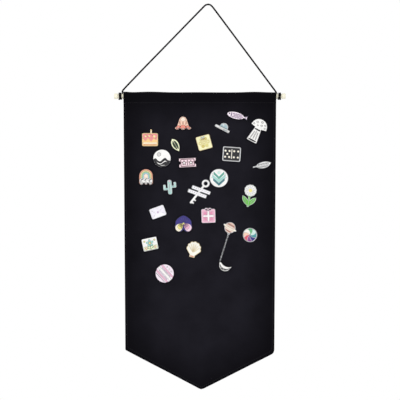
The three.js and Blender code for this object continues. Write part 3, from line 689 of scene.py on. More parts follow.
tree, given = new_tree("row along a path", Pitch="Float", Roll="Float", Item="Object", Finish="Material")
line = add(tree, "GeometryNodeMeshToCurve", {"Mesh": given["Shape"]})
line = add(tree, "GeometryNodeResampleCurve", {"Curve": line.outputs[0], "Length": given["Pitch"]},
           mode="LENGTH")
item = add(tree, "GeometryNodeObjectInfo", {"Object": given["Item"]})
tangent = add(tree, "GeometryNodeInputTangent").outputs["Tangent"]
facing = add(tree, "FunctionNodeAlignRotationToVector", {"Vector": tangent}, axis="X")
index = add(tree, "GeometryNodeInputIndex").outputs["Index"]
angle = add(tree, "ShaderNodeMath", {0: index, 1: given["Roll"]}, operation="MULTIPLY")
roll = add(tree, "FunctionNodeAxisAngleToRotation", {"Axis": (1.0, 0.0, 0.0), "Angle": angle.outputs[0]})
facing = add(tree, "FunctionNodeRotateRotation",
             {"Rotation": facing.outputs[0], "Rotate By": roll.outputs[0]}, rotation_space="LOCAL")
row = add(tree, "GeometryNodeInstanceOnPoints", {"Points": line.outputs[0], "Rotation": facing.outputs[0],
                                                 "Instance": item.outputs["Geometry"]})
end_tree(tree, row.outputs[0], given["Finish"])
row_along_path = tree


def row_of(item_mesh, lines, pitch, roll, finish):
    """A row of copies along lines given in millimetres, as one mesh in metres."""
    item = bpy.data.objects.new("item", item_mesh)
    scene.collection.objects.link(item)
    mesh = grow(row_along_path, paths(lines, closed=False), Item=item, Pitch=pitch, Roll=roll, Finish=finish)
    bpy.data.objects.remove(item)
    mesh.transform(Matrix.Scale(MM, 4))
    return mesh


print("finish:", thread_finish.name)

# %% Rows of stitches along the seams
stitch_length, stitch_width, stitch_pitch, seam_inset, seam_rise = 2.5, 0.5, 3.1, 3.2, 1.14
bead = [(0, -0.5), (0.3, -0.44), (0.48, -0.25), (0.5, 0), (0.48, 0.25), (0.3, 0.44), (0, 0.5)]
stitch = turned("stitch", bead, sides=6)
stitch_size = Matrix.Diagonal((stitch_length, stitch_width, stitch_width, 1))
stitch.transform(stitch_size @ Matrix.Rotation(math.pi / 2, 4, "Y"))


def seam_lines(layer, lean, face):
    """The sewn line inside the edges, on one face of the cloth."""
    edge = lower_edge * (1 - seam_inset / half_top, 1) + (0, seam_inset * seam_rise)
    top = seam_level - 1.0
    left = [(between_sides(0, z) + seam_inset, z) for z in np.linspace(top, edge[0, 1], 60)]
    right = [(between_sides(1, z) - seam_inset, z) for z in np.linspace(edge[-1, 1], top, 60)]
    across = np.linspace(edge[0, 0], edge[-1, 0], 80)
    lower = np.column_stack([across, np.interp(across, edge[:, 0], edge[:, 1])])
    run = np.vstack([left, lower[1:-1], right])
    y = layer + waves(run[:, 0], run[:, 1]) + lean * drawn_in(run[:, 0], run[:, 1]) + face * thickness / 2
    return [np.column_stack([run[:, 0], y, run[:, 1]]) + stick_middle]


def sleeve_seam(y):
    ends = [between_sides(share, seam_level) for share in (0.004, 0.996)]
    return [np.array([(x, y, seam_level) for x in np.linspace(*ends, 40)]) + stick_middle]


front_lines = seam_lines(front_layer, 1, -1) + sleeve_seam(front_layer - thickness / 2)
back_lines = seam_lines(back_layer, -1, 1) + sleeve_seam(flap_layer + thickness / 2)
front_stitches = piece("front_stitches", row_of(stitch, front_lines, stitch_pitch, 0.0, thread_finish),
                       "banner")
back_stitches = piece("back_stitches", row_of(stitch, back_lines, stitch_pitch, 0.0, thread_finish),
                      "banner")
print("stitch faces:", len(front_stitches.data.polygons), len(back_stitches.data.polygons))

# %% [markdown]
# Enamel badges
# A lapel badge is a stamped metal plate. Thin raised walls divide its face into fields, each field is
# filled with coloured enamel, and the bare metal of the walls and the rim is plated. Every badge here is
# made by the same two trees. The first fills the plate's outline, thickens it and lays a rounded rim on
# its edge. The second does the same for one colour's fields, with a thin wall round each. The outlines
# come from the CAD plates.

# %% Enamel and plating finishes
palette = {
    "peach": "#f3cab4", "coral": "#e98f7e", "blush": "#f9e2d0", "apricot": "#e6ad94",
    "sponge": "#f4cb8e", "icing": "#eb9494", "cream": "#fbf2dc", "lemon": "#f1e8a4",
    "lime": "#f4f8cf", "ink": "#232226", "butter": "#f3f1c2", "honey": "#dfd88c",
    "amber": "#d0c272", "white": "#f4f3f1", "mist": "#a6c0c8", "deep teal": "#4b7c84",
    "pebble": "#cfcdcb", "lavender": "#f3e6f1", "heather": "#cbb0cf", "plum": "#8b709e",
    "rose": "#f3c0d4", "berry": "#b0446b", "orange": "#e9a58a", "straw": "#efd9a4",
    "spring green": "#a9d8a6", "sky": "#aed1e2", "mint": "#a2d6cd", "pale mint": "#cdebe3",
    "jade": "#5ea796", "grass": "#63c238", "moss": "#529c45", "lilac white": "#f8f6fb",
    "pale lilac": "#f0ecf6", "indigo": "#383180", "violet": "#5b54a8", "primrose": "#efe490",
    "petal pink": "#efb6d0", "deep pink": "#e992b5", "sand": "#e6c6b4", "terracotta": "#b07f70",
    "oyster": "#f6f4ea", "driftwood": "#e2d9c0", "ruby": "#d95f6f", "grape": "#8a4a8e",
    "lagoon": "#4c9ba0", "leaf green": "#66b47d", "ballet pink": "#f1d2e2", "shell pink": "#f8dee6",
    "mulberry": "#8a4a60", "slate": "#84878c",
}
platings = {"gold": "#dfcca4", "nickel": "#dcdde0", "black nickel": "#34343a"}


def enamel(name, hex_colour):
    """Glass-like paint that was poured and polished: a deep gloss, with faint clouds where it is thin."""
    material, tree, shader, place = new_finish(
        f"{name} enamel", Roughness=0.3, Specular_IOR_Level=0.35, Coat_Weight=0.25, Coat_Roughness=0.08
    )
    clouds = add(tree, "ShaderNodeTexNoise",
                 {"Vector": place["Object"], "Scale": per_mm(5.0), "Detail": 2.0})
    deep = tuple(0.93 * c for c in linear(hex_colour)[:3]) + (1.0,)
    tone = add(tree, "ShaderNodeMapRange",
               {"Value": clouds.outputs["Fac"], "From Min": 0.35, "From Max": 0.6})
    colour = add(tree, "ShaderNodeMix", {0: tone.outputs[0], 6: deep, 7: linear(hex_colour)},
                 data_type="RGBA")
    # The polished surface still dips a few hundredths of a millimetre, over about 2 mm.
    dips = add(tree, "ShaderNodeTexNoise", {"Vector": place["Object"], "Scale": per_mm(2.0)})
    relief = add(tree, "ShaderNodeBump", {"Height": dips.outputs["Fac"], "Strength": 0.2,
                                          "Distance": 0.05 * MM})
    tree.links.new(colour.outputs[2], shader["Base Color"])
    tree.links.new(relief.outputs["Normal"], shader["Normal"])
    return material


def plated(name, hex_colour):
    """Plating over a die-struck plate: a soft shine with hairline scratches from polishing."""
    material, tree, shader, place = new_finish(f"{name} plating", Metallic=1.0,
                                               Base_Color=linear(hex_colour))
    drawn = add(tree, "ShaderNodeMapping",
                {"Vector": place["Object"], "Rotation": (0.0, 0.5, 0.0), "Scale": (0.08, 1.0, 1.0)})
    hairlines = add(tree, "ShaderNodeTexNoise",
                    {"Vector": drawn.outputs[0], "Scale": per_mm(0.4), "Detail": 3.0})
    polish = add(tree, "ShaderNodeMapRange",
                 {"Value": hairlines.outputs["Fac"], "To Min": 0.2, "To Max": 0.42})
    relief = add(tree, "ShaderNodeBump", {"Height": hairlines.outputs["Fac"], "Strength": 0.15,
                                          "Distance": 0.02 * MM})
    tree.links.new(polish.outputs[0], shader["Roughness"])
    tree.links.new(relief.outputs["Normal"], shader["Normal"])
    return material


enamels = {name: enamel(name, value) for name, value in palette.items()}
plating = {name: plated(name, value) for name, value in platings.items()}
print("enamels:", len(enamels), "platings:", len(plating))

# %% The plate tree and the field tree
weld = 0.0005  # points that lie closer become one


def slab(tree, outline, height):
    """The filled outline as a closed slab, and the outputs that tell its top and its sides."""
    face = add(tree, "GeometryNodeFillCurve", {"Curve": outline}).outputs[0]
    body = add(tree, "GeometryNodeExtrudeMesh",
               {"Mesh": face, "Offset Scale": height, "Individual": False}).outputs
    back = add(tree, "GeometryNodeFlipFaces", {"Mesh": face}).outputs[0]
    whole = add(tree, "GeometryNodeJoinGeometry", {"Geometry": [body["Mesh"], back]}).outputs[0]
    whole = add(tree, "GeometryNodeMergeByDistance", {0: whole, "Distance": weld}).outputs[0]
    return whole, body


def wire_along(tree, line, radius, sides):
    """Round wire along a line."""
    wire = add(tree, "GeometryNodeCurvePrimitiveCircle", {"Resolution": sides, "Radius": radius})
    tube = add(tree, "GeometryNodeCurveToMesh", {"Curve": line, "Profile Curve": wire.outputs["Curve"]})
    return add(tree, "GeometryNodeSetShadeSmooth", {0: tube.outputs[0]}).outputs[0]


tree, given = new_tree("stamped plate", Depth="Float", Rim="Float", Enamel="Material", Metal="Material")
outline = add(tree, "GeometryNodeMeshToCurve", {"Mesh": given["Shape"]}).outputs[0]
plate, body = slab(tree, outline, given["Depth"])
# The rim's wire lies inside the edge by its own radius.
flat = add(tree, "GeometryNodeSetCurveNormal", {"Curve": outline}, mode="Z_UP")
aside = add(tree, "GeometryNodeInputNormal").outputs["Normal"]
inward = add(tree, "ShaderNodeMath", {0: given["Rim"], 1: -1.0}, operation="MULTIPLY")
inset = add(tree, "ShaderNodeVectorMath", {0: aside, "Scale": inward.outputs[0]}, operation="SCALE")
lift = add(tree, "ShaderNodeCombineXYZ", {"Z": given["Depth"]})
shift = add(tree, "ShaderNodeVectorMath", {0: inset.outputs[0], 1: lift.outputs[0]}, operation="ADD")
rim_line = add(tree, "GeometryNodeSetPosition", {"Geometry": flat.outputs[0], "Offset": shift.outputs[0]})
rim = wire_along(tree, rim_line.outputs[0], given["Rim"], 10)
badge = add(tree, "GeometryNodeJoinGeometry", {"Geometry": [plate, rim]})
end_tree(tree, badge.outputs[0], given["Metal"], body["Top"], given["Enamel"])
stamped_plate = tree

tree, given = new_tree("enamel field", Level="Float", Height="Float", Wall="Float", Enamel="Material",
                       Metal="Material")
outline = add(tree, "GeometryNodeMeshToCurve", {"Mesh": given["Shape"]}).outputs[0]
field, body = slab(tree, outline, given["Height"])
lift = add(tree, "ShaderNodeCombineXYZ", {"Z": given["Height"]})
wall_line = add(tree, "GeometryNodeSetPosition", {"Geometry": outline, "Offset": lift.outputs[0]})
wall = wire_along(tree, wall_line.outputs[0], given["Wall"], 6)
level = add(tree, "ShaderNodeCombineXYZ", {"Z": given["Level"]})
whole = add(tree, "GeometryNodeJoinGeometry", {"Geometry": [field, wall]})
whole = add(tree, "GeometryNodeTransform", {"Geometry": whole.outputs[0], "Translation": level.outputs[0]})
poured = add(tree, "FunctionNodeBooleanMath", {0: body["Top"], 1: body["Side"]}, operation="OR")
end_tree(tree, whole.outputs[0], given["Metal"], poured.outputs[0], given["Enamel"])
enamel_field = tree
print("trees:", stamped_plate.name, "and", enamel_field.name)

# %% [markdown]
# A badge is drawn in its own frame, right and up from its middle, in millimetres. A few shape helpers are
# enough for all of the motifs. Each motif is a list of fields from the bottom up: a colour and its closed
# lines.

# %% Shapes for the motifs
def oval(x, y, width, height=None, turn=0.0, steps=28):
    height = width if height is None else height
    t = 2 * np.pi * np.arange(steps) / steps
    return placed(np.column_stack([width / 2 * np.cos(t), height / 2 * np.sin(t)]), x, y, turn)


def placed(points, x=0.0, y=0.0, turn=0.0):
    """Points turned against the clock by degrees and then moved."""
    c, s = math.cos(math.radians(turn)), math.sin(math.radians(turn))
    return np.array(points, float) @ np.array([[c, s], [-s, c]]) + (x, y)


def mirrored(points):
    return (np.array(points, float) * (-1, 1))[::-1]


def panel(x, y, width, height, turn=0.0, radius=0.5):
    """A rectangle with eased corners."""
    w, h = width / 2, height / 2
    ring = [(-w, -h), (w, -h), (w, h), (-w, h)]
    eased = [rounded(ring[i - 1], ring[i], ring[(i + 1) % 4], min(radius, w, h), 5) for i in range(4)]
    return placed(np.vstack(eased), x, y, turn)


def blob(points, turn=0.0):
    """A soft closed line through the points."""
    return placed(curve_through(points, closed=True, steps=5), 0, 0, turn)


def polygon(x, y, radius, count, turn=90.0, inner=None):
    """A regular polygon, or a star where an inner radius is given."""
    radii = [radius] if inner is None else [radius, inner]
    total = count * len(radii)
    t = 2 * np.pi * np.arange(total) / total
    r = np.array([radii[i % len(radii)] for i in range(total)])
    return placed(np.column_stack([r * np.cos(t), r * np.sin(t)]), x, y, turn)


def ring_of(shape, count, reach, x=0.0, y=0.0, start=90.0):
    """Copies of a shape that points right, set round a middle."""
    return [placed(np.array(shape) + (reach, 0), x, y, start + 360 * k / count) for k in range(count)]


def cut_from_disc(radius, line):
    """The part of a disc on the left of a line that runs from edge to edge."""
    line = np.array(line, float)
    end, start = (math.atan2(p[1], p[0]) for p in (line[-1], line[0]))
    if start < end:
        start += 2 * math.pi
    t = np.linspace(end, start, 30)[1:-1]
    return np.vstack([line, radius * np.column_stack([np.cos(t), np.sin(t)])])


def band(radius, low, high, turn=0.0):
    """The part of a disc between two straight cuts."""
    a, b = math.asin(low / radius), math.asin(high / radius)
    right, left = np.linspace(a, b, 12), np.linspace(math.pi - b, math.pi - a, 12)
    t = np.concatenate([right, left])
    return placed(radius * np.column_stack([np.cos(t), np.sin(t)]), 0, 0, turn)


def stroke(x, y, radius, start, end, width):
    """A line of even width along part of a circle, between two angles in degrees."""
    t = np.radians(np.linspace(start, end, 12))
    arc = np.column_stack([np.cos(t), np.sin(t)])
    return np.vstack([(radius + width / 2) * arc, (radius - width / 2) * arc[::-1]]) + (x, y)


def rays(angles, near, far, width, x=0.0, y=0.0):
    """Slim ovals that run outward from a middle."""
    return [placed(oval((near + far) / 2, 0, far - near, width), x, y, angle) for angle in angles]


print("an oval has", len(oval(0, 0, 4)), "points")

# %% Motifs of the flowers, plants and shells
left_petal = blob([(-10.3, -7.1), (-8.2, -8.7), (-5.3, -7.4), (-4.5, -4.4), (-7.2, -3.6)])
bellflower = [
    ("coral", [left_petal, mirrored(left_petal),
               blob([(-3.7, -7.2), (0, -8.8), (3.7, -7.2), (3.3, -3.8), (0, -2.7), (-3.3, -3.8)])]),
    ("apricot", [oval(-4.6, 0.4, 1.5, 5.4, 10), oval(4.6, 0.4, 1.5, 5.4, -10), oval(0, 0, 1.3, 3.6)]),
    ("blush", [blob([(0, 8.6), (2.7, 6.9), (3.3, 3.8), (0, 2.7), (-3.3, 3.8), (-2.7, 6.9)])]),
    ("white", [oval(-7.4, -7.2, 3.2, 0.9, -18), oval(0, -7.8, 3.4, 0.9), oval(7.4, -7.2, 3.2, 0.9, 18)]),
    ("ink", [oval(-4.2, -5.6, 0.8, 3.4, -16), oval(4.2, -5.6, 0.8, 3.4, 16)]),
]
half_leaf = blob([(0.6, 6.6), (2.5, 4.0), (3.3, 0.6), (2.7, -3.2), (0.6, -6.6)])
leaf = [
    ("ink", [half_leaf, mirrored(half_leaf)]),
    ("moss", [oval(side * 1.9, y, 3.6, 0.6, side * 42) for side in (-1, 1) for y in (3.4, 0.6, -2.2)]),
]
cap_spots = [(-8.6, 7.6, 2.6), (-5.0, 11.4, 3.4), (-2.6, 7.3, 2.4), (1.4, 14.0, 3.6), (2.6, 9.2, 3.2),
             (7.2, 11.6, 2.8), (8.4, 7.4, 2.4)]
mushroom = [
    ("pebble", [oval(x, y, size, 0.8 * size) for x, y, size in cap_spots]),
    ("pebble", [oval(-3.3, -7.6, 1.3, 12, -7), oval(0, -6.8, 1.3, 13), oval(3.3, -7.6, 1.3, 12, 7)]),
    ("ink", [panel(0, 1.5, 8.4, 1.7), oval(0, -15.4, 12.6, 1.9)]),
]
cactus = [
    ("pale mint", [oval(-1.3, -1, 1.0, 14), oval(1.3, -1, 1.0, 14), oval(-7.6, 0.3, 1.0, 5.8),
                   oval(7.6, 3.2, 1.0, 5.8)]),
    ("deep teal", [oval(0, -1, 0.8, 13), oval(-4.8, -2.6, 3.0, 0.9), oval(4.8, 0.4, 3.0, 0.9)]),
    ("petal pink", [blob(polygon(0, 8.4, 1.7, 5, 90, 0.9))]),
]
daisy = [
    ("moss", [oval(-5.2, -7.6, 9.0, 1.4, 122), oval(5.2, -7.6, 9.0, 1.4, 58), oval(0, -8, 1.0, 13)]),
    ("white", [oval(0, 7.5, 15.8)]),
    ("slate", ring_of(oval(0, 0, 4.4, 0.6), 12, 5.2, 0, 7.5, 15)),
    ("primrose", [oval(0, 7.5, 5.2)]),
]
low_petal = blob([(-0.9, -0.5), (-4.6, 0.2), (-9.0, -1.0), (-11.6, -4.2), (-11.3, -8.0), (-8.6, -10.9),
                  (-5.4, -11.0), (-2.4, -8.4), (-0.9, -4.4)])
pansy = [
    ("cream", [low_petal]),
    ("ballet pink", [mirrored(low_petal)]),
    ("primrose", [0.72 * low_petal]),
    ("petal pink", [0.72 * mirrored(low_petal)]),
    ("violet", rays((40, 65, 90, 115, 140), 3.0, 9.6, 1.0, 0, 0.4)),
    ("ink", rays((202, 222, 242), 2.4, 7.8, 0.8, 0, 0.4)),
    ("plum", rays((338, 318, 298), 2.4, 7.8, 0.8, 0, 0.4)),
    ("honey", [oval(0, 0.3, 3.0)]),
]
bloom = [
    ("lime", [panel(0, -5.3, 19.6, 5.2, 0, 1.6)]),
    ("mint", ring_of(oval(0, 0, 3.9, 3.2), 5, 3.6, 0, 1.4)),
    ("primrose", [oval(0, 1.4, 3.0), oval(-7.4, 5.0, 2.4), oval(7.4, 5.0, 2.4)]),
    ("peach", [oval(-6.6, -5.3, 3.0), oval(6.6, -5.3, 3.0)]),
    ("jade", [oval(0, y, 1.0, 2.2) for y in (-3.6, -6.4)]
     + [oval(-3.4, -5.2, 3.0, 1.0, -24), oval(3.4, -5.2, 3.0, 1.0, 24)]),
]
shell = [
    ("driftwood", [oval(5.6 * math.sin(a) * 1.05, -7.2 + 9.6 * math.cos(a), 0.95, 11.0,
                        -math.degrees(a) * 0.95)
                   for a in np.radians([-44, -27, -9, 9, 27, 44])]),
    ("coral", [panel(0, -10.3, 5.4, 1.3)]),
]
print("motifs: bellflower, leaf, mushroom, cactus, daisy, pansy, bloom, shell")

# %% Motifs of the small things
icing_edge = [(-10.2, 8.0), (-4, 8.4), (4, 8.4), (10.2, 8.0), (10.3, 3), (9.2, -0.6), (7.4, 0.6),
              (5.4, 2.0), (3.6, -0.8), (1.2, -2.4), (-1.0, 0.6), (-3.2, 2.2), (-5.2, -0.8),
              (-7.2, -1.6), (-9.0, 0.8), (-10.3, 3)]
sprinkles = [(-8.2, 3.6, 40), (-3.9, 4.4, -30), (1.6, 2.2, 60), (3.4, 5.8, -20), (8.4, 2.4, 70),
             (-6.0, 6.9, 15), (1.0, 7.4, -10)]
cake = [
    ("icing", [blob(icing_edge)]),
    ("cream", [panel(0, -5.0, 20.4, 1.8, 0, 0.9), panel(1.6, 11.0, 1.1, 4.4, 0, 0.4)]),
    ("lemon", [oval(-6.4, 4.8, 2.6), oval(-1.2, 5.2, 2.6), oval(6.2, 4.6, 3.4)]),
    ("orange", [panel(0, -7.4, 19.4, 1.0, 0, 0.4)]),
    ("berry", [panel(x, y, 2.0, 0.8, turn, 0.3) for x, y, turn in sprinkles]),
]
cells = [(-5.6, 0), (0, 0), (5.6, 0), (-2.8, 4.85), (2.8, 4.85), (-2.8, -4.85), (2.8, -4.85)]
honeycomb = [
    ("honey", [polygon(x, y, 2.75, 6) for x, y in cells[:4] + cells[6:]]),
    ("amber", [polygon(x, y, 2.75, 6) for x, y in cells[4:6]]),
    ("butter", [oval(x, y, 2.4) for x, y in cells[:4]]),
    ("mist", [oval(-1.7, 7.4, 2.4, 3.4, 30), oval(1.3, 7.5, 2.4, 3.4, -20)]),
    ("ink", [oval(-0.2, 5.2, 5.4, 2.9, 8)]),
    ("primrose", [panel(-1.2, 5.1, 0.8, 2.3, 8, 0.2), panel(0.9, 5.4, 0.8, 2.2, 8, 0.2)]),
]
sunhat = [
    ("mist", [blob([(-4.0, -0.9), (-3.0, 1.7), (-0.6, 3.3), (2.7, 3.3), (5.2, 1.7), (6.1, -0.9)])]),
    ("deep teal", [panel(0.9, -1.6, 11.4, 1.4, 0, 0.4)]),
    ("white", [oval(-7.4, -3.9, 6.0, 1.9), oval(-0.6, 1.6, 2.6, 1.5, 30)]),
    ("deep teal", [oval(4.6, -4.4, 8.0, 0.8)]),
]
scales = [(x, y) for y, row in ((2.1, (-6.4, -2.8, 0.8, 4.2)), (-0.2, (-4.6, -1.0, 2.6, 6.0)),
                                (-2.5, (-6.4, -2.8, 0.8, 4.2))) for x in row]
fish = [
    ("heather", [oval(x, y, 2.9, 1.7) for x, y in scales]),
    ("plum", [oval(12.4, 1.7, 3.6, 1.0, 42), oval(12.4, -1.7, 3.6, 1.0, -42),
              blob([(-9.6, 3.6), (-8.9, 0), (-9.6, -3.6), (-10.1, 0)])]),
    ("ink", [oval(-12.4, 0.9, 1.5)]),
]
pips = [(-9.2, 4.4), (-3.4, 4.4), (-6.3, 0), (-9.2, -4.4), (-3.4, -4.4), (3.4, 4.4), (9.2, 4.4),
        (3.4, -4.4), (9.2, -4.4)]
domino = [
    ("pebble", [panel(0, 0, 24.6, 19.6, 0, 2), panel(0, 0, 23.5, 18.5, 0, 1.7)[::-1]]),
    ("cream", [panel(0, 0, 0.9, 13.6, 0, 0.3)] + [oval(x, y, 2.7) for x, y in pips]),
]
ticket = [
    ("mulberry", [panel(0, 0, 20.0, 10.8, 0, 1.4), panel(0, 0, 18.4, 9.2, 0, 1.0)[::-1]]),
    ("mulberry", [polygon(x, -0.1, 4.0, 5, 90, 2.0) for x in (-4.9, 4.9)]
     + [oval(0, y, 1.3) for y in (-3, -1, 1, 3)]),
    ("white", [polygon(x, -0.1, 2.6, 5, 90, 1.2) for x in (-4.9, 4.9)]),
]
dashes_at = np.linspace(-10.5, 10.5, 8)
ribbon_turn = 18
ribbon_middles = [placed([(side * 1.733, side * 3.4)], 0, 0, ribbon_turn)[0] for side in (-1, 1)]
key = [
    ("lilac white", [panel(*middle, 26.4, 3.8, ribbon_turn, 0.8) for middle in ribbon_middles]),
    ("ink", [placed(polygon(x, 0, 0.65, 4, 0), *middle, ribbon_turn)
             for middle in ribbon_middles for x in dashes_at]),
]
feather = [
    ("pebble", [panel(1.4, 0, 19.0, 0.6, 0, 0.2)]),
    ("ink", [oval(x, side * 1.95, 4.0, 1.0, side * 38) for x in (-4.8, -2.4, 0.0, 2.4, 4.8)
             for side in (-1, 1)]),
    ("ink", [oval(7.2, 1.95, 4.0, 1.0, 38), oval(9.3, 1.5, 2.6, 0.9, 38), oval(7.0, -1.5, 2.8, 0.9, -38),
             oval(8.9, -1.1, 1.6, 0.8, -38)]),
]
envelope = [
    ("pale lilac", [[(-9.4, 6.2), (0, -0.6), (9.4, 6.2)]]),
    ("pale lilac", [[(-9.6, -6.2), (-2.6, -0.4), (-9.6, 4.6)], [(9.6, -6.2), (9.6, 4.6), (2.6, -0.4)]]),
    ("heather", [oval(0, -0.2, 3.0)]),
    ("plum", [oval(side * x, y, 1.6, 0.6, side * 36) for side in (-1, 1)
              for x, y in ((7.4, 3.6), (5.2, 2.0), (6.6, -3.4))]),
]
cross = [(1.2, 1.2), (7.4, 1.2), (7.4, -1.2), (1.2, -1.2), (1.2, -7.2), (-1.2, -7.2), (-1.2, -1.2),
         (-7.4, -1.2), (-7.4, 1.2), (-1.2, 1.2), (-1.2, 6.6), (1.2, 6.6)]
gift = [
    ("deep pink", [panel(0, -0.4, 15.4, 14.6, 0, 1.6)]),
    ("berry", [panel(side * 4.3, up * 4.2 - 0.4, 4.8, 4.4, 0, 0.8) for side in (-1, 1) for up in (-1, 1)]),
    ("deep pink", [panel(side * 4.5, up * 4.4 - 0.4, 4.0, 3.6, 0, 0.6) for side in (-1, 1)
                   for up in (-1, 1)]),
    ("white", [np.array(cross[::-1]) + (0, -0.2)]),
    ("ink", [oval(-2.7, 9.0, 3.6, 2.2, -14), oval(2.7, 9.0, 3.6, 2.2, 14), oval(0, 8.1, 1.8)]),
]
print("motifs: cake, honeycomb, sunhat, fish, domino, ticket, key, feather, envelope, gift")

# %% Motifs of the discs, the sky and the charm
swell = curve_through([(-12.1, -1.6), (-9.2, -0.2), (-6.0, -3.2), (-2.4, -4.6), (1.4, -1.4), (4.8, 0.4),
                       (8.0, -2.6), (11.6, -3.6)])
foam = curve_through([(-8.4, -4.6), (-5.4, -6.6), (-1.6, -7.4), (1.8, -4.8), (4.6, -3.2), (7.6, -5.6),
                      (4.8, -5.0), (1.8, -6.6), (-1.6, -8.8), (-5.4, -8.2)], closed=True)
wave = [
    ("pebble", [oval(-4.4, 5.6, 5.6)]),
    ("ink", [cut_from_disc(12.2, swell[::-1])]),
    ("white", [foam, oval(1.2, -10.2, 8.0, 1.0, 4)]),
]


def arch(radius):
    """One bow of the rainbow, filled down to the clouds."""
    t = np.linspace(0, np.pi, 24)
    bow = np.column_stack([radius * np.cos(t), 1.75 + radius * np.sin(t)])
    return np.vstack([[(radius, -4.6)], bow, [(-radius, -4.6)]])


cloud = blob([(-9.1, -7.6), (-9.2, -4.2), (-7.6, -2.0), (-5.4, -1.8), (-3.8, -3.0), (-1.8, -1.4),
              (0.8, -1.2), (2.9, -2.8), (5.2, -1.7), (7.8, -2.4), (9.2, -4.6), (9.1, -7.6),
              (8.2, -9.9), (6.2, -10.6), (4.3, -9.6), (3.0, -8.0), (1.7, -9.6), (0, -10.5), (-1.7, -9.6),
              (-3.0, -8.0), (-4.3, -9.6), (-6.2, -10.6), (-8.2, -9.9)])
rainbow = [
    ("straw", [arch(8.0)]),
    ("spring green", [arch(6.3)]),
    ("sky", [arch(4.6)]),
    ("blush", [arch(2.9)]),
    ("white", [cloud]),
    ("pebble", [oval(x, -8.2, 4.4, 2.6) for x in (-6.2, 0, 6.2)]),
    ("ink", [stroke(x, y, 2.2, 70, 205, 0.7) for x, y in ((-5.2, -5.5), (0.9, -4.7), (6.7, -5.7))]),
]
bend = np.array([(-1.0, 1.0), (0, 0), (1.0, 1.0), (1.0, 0.45), (0, -0.55), (-1.0, 0.45)])[::-1]
chevron = [
    ("pale mint", [oval(0, 7.8, 4.4)]),
    ("jade", [bend * (7.6, 7.4) + (0, 2.2)]),
    ("mint", [bend * (9.6, 7.6) + (0, -2.2)]),
    ("deep teal", [bend * (8.4, 7.6) + (0, -7.0)]),
    ("ink", [oval(side * x, y, 2.6, 0.5, side * 42) for side in (-1, 1)
             for x, y in ((8.8, 6.2), (10.2, 0.6))]),
]
planet_ring = [oval(0, 0, 19.2, 4.0), oval(0, 0.5, 14.2, 1.5)[::-1]]
planet = [
    ("terracotta", [band(7.2, 3.0, 5.2), band(7.2, -6.2, -4.4)]),
    ("blush", [band(7.2, -3.8, -2.4)]),
    ("cream", planet_ring),
]


def vane(start, end, hub=1.0, reach=9.3, sweep=34):
    """One curved sail of the pinwheel."""
    r = np.linspace(hub, reach, 9)
    lean = sweep * (r - hub) / (reach - hub)
    sides = [np.column_stack([r * np.cos(t), r * np.sin(t)])
             for t in (np.radians(start + lean), np.radians(end + lean))]
    rim_angles = np.radians(np.linspace(start + sweep, end + sweep, 7)[1:-1])
    rim_arc = reach * np.column_stack([np.cos(rim_angles), np.sin(rim_angles)])
    return np.vstack([sides[0], rim_arc, sides[1][::-1]])


sails = ["oyster", "leaf green", "pale mint", "lagoon", "indigo", "grape", "ruby", "peach"]
pinwheel = [(colour, [vane(80 - 45 * k, 122 - 45 * k)]) for k, colour in enumerate(sails)]
stripe_turn = -48
stripe = [
    ("white", [band(12.8, -1.5, 1.5, stripe_turn)]),
    ("petal pink", [band(12.8, low, high, stripe_turn) for low, high in ((4.2, 6.2), (-6.6, -4.6))]),
    ("white", [oval(*placed([(x, 9.0)], 0, 0, stripe_turn)[0], 1.8) for x in (-4.4, 0, 4.4)]),
    ("plum", [oval(*placed([(x, y)], 0, 0, stripe_turn)[0], 0.9)
              for y in (2.9, -3.1, -8.4) for x in np.arange(-8, 9, 2)]),
]
crescent = [
    ("pebble", [blob([(-7.6, 2.0), (-4.6, -1.9), (0, -3.3), (4.8, -1.9), (7.8, 1.8), (4.6, -0.4), (0, -1.2),
                      (-4.4, 0)])]),
    ("ink", [blob([(-7.4, 2.6), (-4.4, -0.7), (0, -1.9), (4.6, -0.8), (7.8, 2.2), (4.4, -2.3), (0, -3.7),
                   (-4.6, -2.4)])]),
    ("lilac white", [oval(-4.3, -1.5, 1.5, 1.0, -40), oval(0.1, -2.8, 1.7, 1.0),
                     oval(4.5, -1.5, 1.5, 1.0, 40)]),
]
print("motifs: wave, rainbow, chevron, planet, pinwheel, stripe, crescent")

# %% Each badge's turn in degrees, plating, ground colour and motif
badges = {
    "bellflower": (0, "black nickel", "peach", bellflower),
    "cake": (0, "gold", "sponge", cake),
    "leaf": (30, "black nickel", "lime", leaf),
    "honeycomb": (15, "gold", "butter", honeycomb),
    "sunhat": (-27, "nickel", "pebble", sunhat),
    "fish": (-14, "black nickel", "lavender", fish),
    "mushroom": (-28, "black nickel", "white", mushroom),
    "domino": (-4, "nickel", "ink", domino),
    "ticket": (3, "black nickel", "shell pink", ticket),
    "wave": (0, "black nickel", "white", wave),
    "rainbow": (0, "black nickel", "orange", rainbow),
    "cactus": (4, "nickel", "mint", cactus),
    "key": (-38, "nickel", "white", key),
    "chevron": (0, "nickel", "white", chevron),
    "feather": (11, "nickel", "white", feather),
    "daisy": (-10, "nickel", "grass", daisy),
    "envelope": (20, "nickel", "lilac white", envelope),
    "pansy": (0, "black nickel", "indigo", pansy),
    "gift": (2, "nickel", "rose", gift),
    "planet": (-30, "nickel", "sand", planet),
    "pinwheel": (0, "nickel", "ink", pinwheel),
    "bloom": (12, "black nickel", "white", bloom),
    "shell": (-14, "gold", "oyster", shell),
    "crescent": (-20, "black nickel", "white", crescent),
    "stripe": (0, "black nickel", "lavender", stripe),
}
assert {name + "_pin" for name in badges} == {node for node in frame["nodes"] if node.endswith("_pin")}
print("badges:", len(badges))

# %% [markdown]
# The CAD plates are cut from straight facets. Their outline is read back from the front face: an edge
# that only one triangle uses is on the outline. Arcs are then made finer by a four-point rule, which puts
# a new point on the curve that its four neighbours suggest, and real corners are left sharp.

